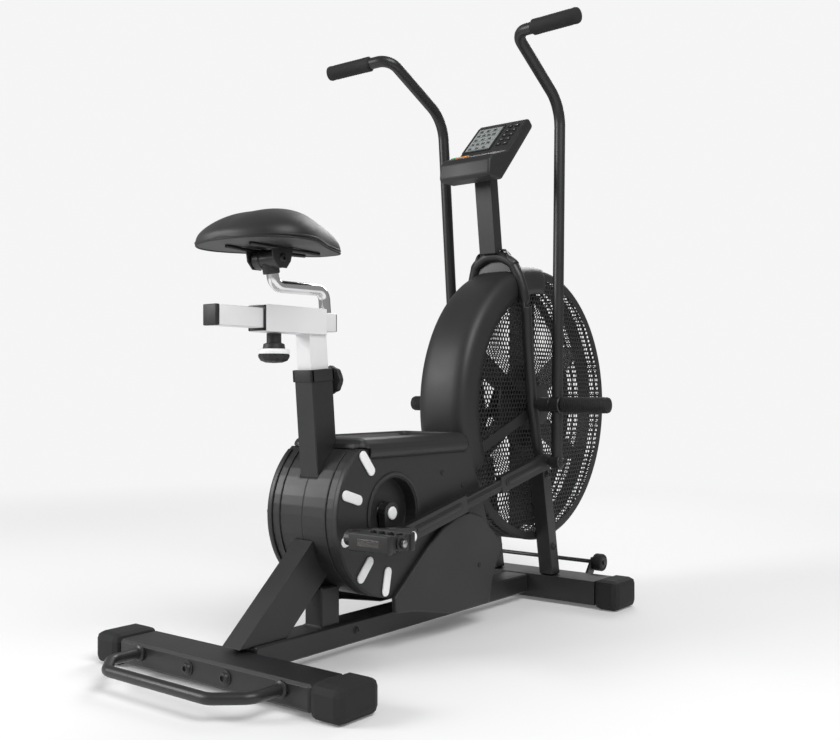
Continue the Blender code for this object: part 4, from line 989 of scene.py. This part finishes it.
def buildShroud():
    # half of the section from its open edge to its crown, as (radius, half width)
    half = [(0.2620, 0.0606), (0.2760, 0.0622), (0.2900, 0.0630), (0.3020, 0.0622), (0.3120, 0.0590)]
    half += [(0.3190, 0.0530), (0.3230, 0.0440), (0.3250, 0.0310), (0.3256, 0.0150)]
    shroud = {"start": 88.0, "sweep": 119.0, "steps": 84, "wall": 0.0022}
    section = half + [(radius, -x) for radius, x in reversed(half)]
    centre = at(0, *bike["fan"])
    bm = bmesh.new()
    rows = []
    for step in range(shroud["steps"] + 1):
        angle = math.radians(shroud["start"] + shroud["sweep"] * step / shroud["steps"])
        y, z = math.cos(angle), math.sin(angle)
        ring = [(x, centre.y + radius * y, centre.z + radius * z) for radius, x in section]
        rows.append([bm.verts.new(point) for point in ring])
    for near, far in zip(rows, rows[1:]):
        for i in range(len(section) - 1):
            bm.faces.new((near[i], near[i + 1], far[i + 1], far[i]))
    made = smoothMesh("shroud_skin", bm, 60)
    skin = piece("shroud_skin", made, "housing_plastic", "frame", "fan_shroud", slot="black_plastic")
    thicken(skin, shroud["wall"])
    crown = [(-0.064, 0.730), (0.064, 0.730), (0.070, 0.748), (0.052, 0.779), (0.020, 0.797)]
    crown += [(-0.020, 0.797), (-0.052, 0.779), (-0.070, 0.748)]
    quarter = Matrix.Rotation(math.radians(90), 4, "Z")
    near, far = at(0, 0.860, 0).y, at(0, 0.871, 0).y
    slab("hoop_gusset", crown, near, far, 0.002, "black_paint", "frame", place=quarter)
    knob = [(0.0, 0.0), (0.0095, 0.0), (0.0095, 0.006), (0.0080, 0.0105), (0.0045, 0.0125), (0.0, 0.0128)]
    for number, degrees in enumerate((146, 178, 210)):
        place = aboutCrank(-bike["coverX"] + 0.0005, degrees, 0.1430)
        lathe(f"cover_knob_{number}", knob, place, (-1, 0, 0), "black_plastic", "frame", steps=28)
    print("shroud made")


buildTubes()
buildPegs()
buildCage()
buildHousingTrim()
buildCranks()
buildRodTrim()
buildSaddle()
buildSeatParts()
buildConsole()
buildFasteners()
buildShroud()


# ---- floor, light and camera


def buildStudio():
    pale = {"level": 0.915, "near": 1.3, "far": 3.6, "bounce": 0.30, "world": 0.28}
    floorPaint = bpy.data.materials.new("studio_floor")
    floorPaint.use_nodes = True
    n, link = floorPaint.node_tree.nodes, floorPaint.node_tree.links.new
    shader = n["Principled BSDF"]
    shader.inputs["Base Color"].default_value = (0.80, 0.80, 0.80, 1)
    shader.inputs["Roughness"].default_value = 0.9
    shader.inputs["Specular IOR Level"].default_value = 0.1
    shader.inputs["Emission Color"].default_value = (1, 1, 1, 1)
    shader.inputs["Emission Strength"].default_value = 0.12
    # away from the bike the floor takes the background's own brightness
    place = n.new("ShaderNodeTexCoord")
    distance = n.new("ShaderNodeVectorMath")
    distance.operation = "LENGTH"
    fade = n.new("ShaderNodeMapRange")
    fade.interpolation_type = "SMOOTHSTEP"
    fade.inputs["From Min"].default_value = pale["near"]
    fade.inputs["From Max"].default_value = pale["far"]
    ray = n.new("ShaderNodeLightPath")
    level = n.new("ShaderNodeMapRange")
    level.inputs["To Min"].default_value = pale["bounce"]
    level.inputs["To Max"].default_value = pale["level"]
    glow = n.new("ShaderNodeEmission")
    mix = n.new("ShaderNodeMixShader")
    link(place.outputs["Object"], distance.inputs[0])
    link(distance.outputs["Value"], fade.inputs["Value"])
    link(ray.outputs["Is Camera Ray"], level.inputs["Value"])
    link(level.outputs["Result"], glow.inputs["Strength"])
    link(fade.outputs["Result"], mix.inputs["Fac"])
    link(shader.outputs["BSDF"], mix.inputs[1])
    link(glow.outputs["Emission"], mix.inputs[2])
    link(mix.outputs["Shader"], n["Material Output"].inputs["Surface"])
    bpy.ops.mesh.primitive_plane_add(size=60, location=(0, 0, -0.0005))
    floor = bpy.context.object
    floor.name = "floor"
    floor.data.materials.append(floorPaint)
    world = bpy.data.worlds.new("studio")
    bpy.context.scene.world = world
    world.use_nodes = True
    n, link = world.node_tree.nodes, world.node_tree.links.new
    background = n["Background"]
    background.inputs["Color"].default_value = (1, 1, 1, 1)
    ray = n.new("ShaderNodeLightPath")
    level = n.new("ShaderNodeMapRange")
    level.inputs["To Min"].default_value = pale["world"]
    level.inputs["To Max"].default_value = pale["level"]
    link(ray.outputs["Is Camera Ray"], level.inputs["Value"])
    link(level.outputs["Result"], background.inputs["Strength"])
    lamps = {
        "key": ((-2.4, -3.0, 2.0), 1.8, 95), "fill": ((2.6, -1.0, 3.2), 2.2, 100),
        "rim": ((-1.0, 3.0, 2.8), 2.0, 60),
    }
    for name, (place, size, power) in lamps.items():
        lamp = bpy.data.lights.new(name, "AREA")
        lamp.size, lamp.energy = size, power
        obj = bpy.data.objects.new(name, lamp)
        bpy.context.scene.collection.objects.link(obj)
        obj.location = place
        obj.rotation_euler = (Vector((0, 0, 0.6)) - Vector(place)).to_track_quat("-Z", "Y").to_euler()
    lens = {"place": at(1.3077, -1.1059, 0.5), "turn": 37.8, "length": 43.714, "shiftY": 0.0214}
    camera = bpy.data.cameras.new("camera")
    camera.sensor_width, camera.lens, camera.shift_y = 36, lens["length"], lens["shiftY"]
    camera.clip_start = 0.05
    eye = bpy.data.objects.new("camera", camera)
    bpy.context.scene.collection.objects.link(eye)
    eye.location = lens["place"]
    eye.rotation_euler = (math.radians(90), 0, math.radians(lens["turn"]))
    bpy.context.scene.camera = eye
    bpy.context.scene.view_settings.view_transform = "Standard"
    print("studio made")


buildStudio()
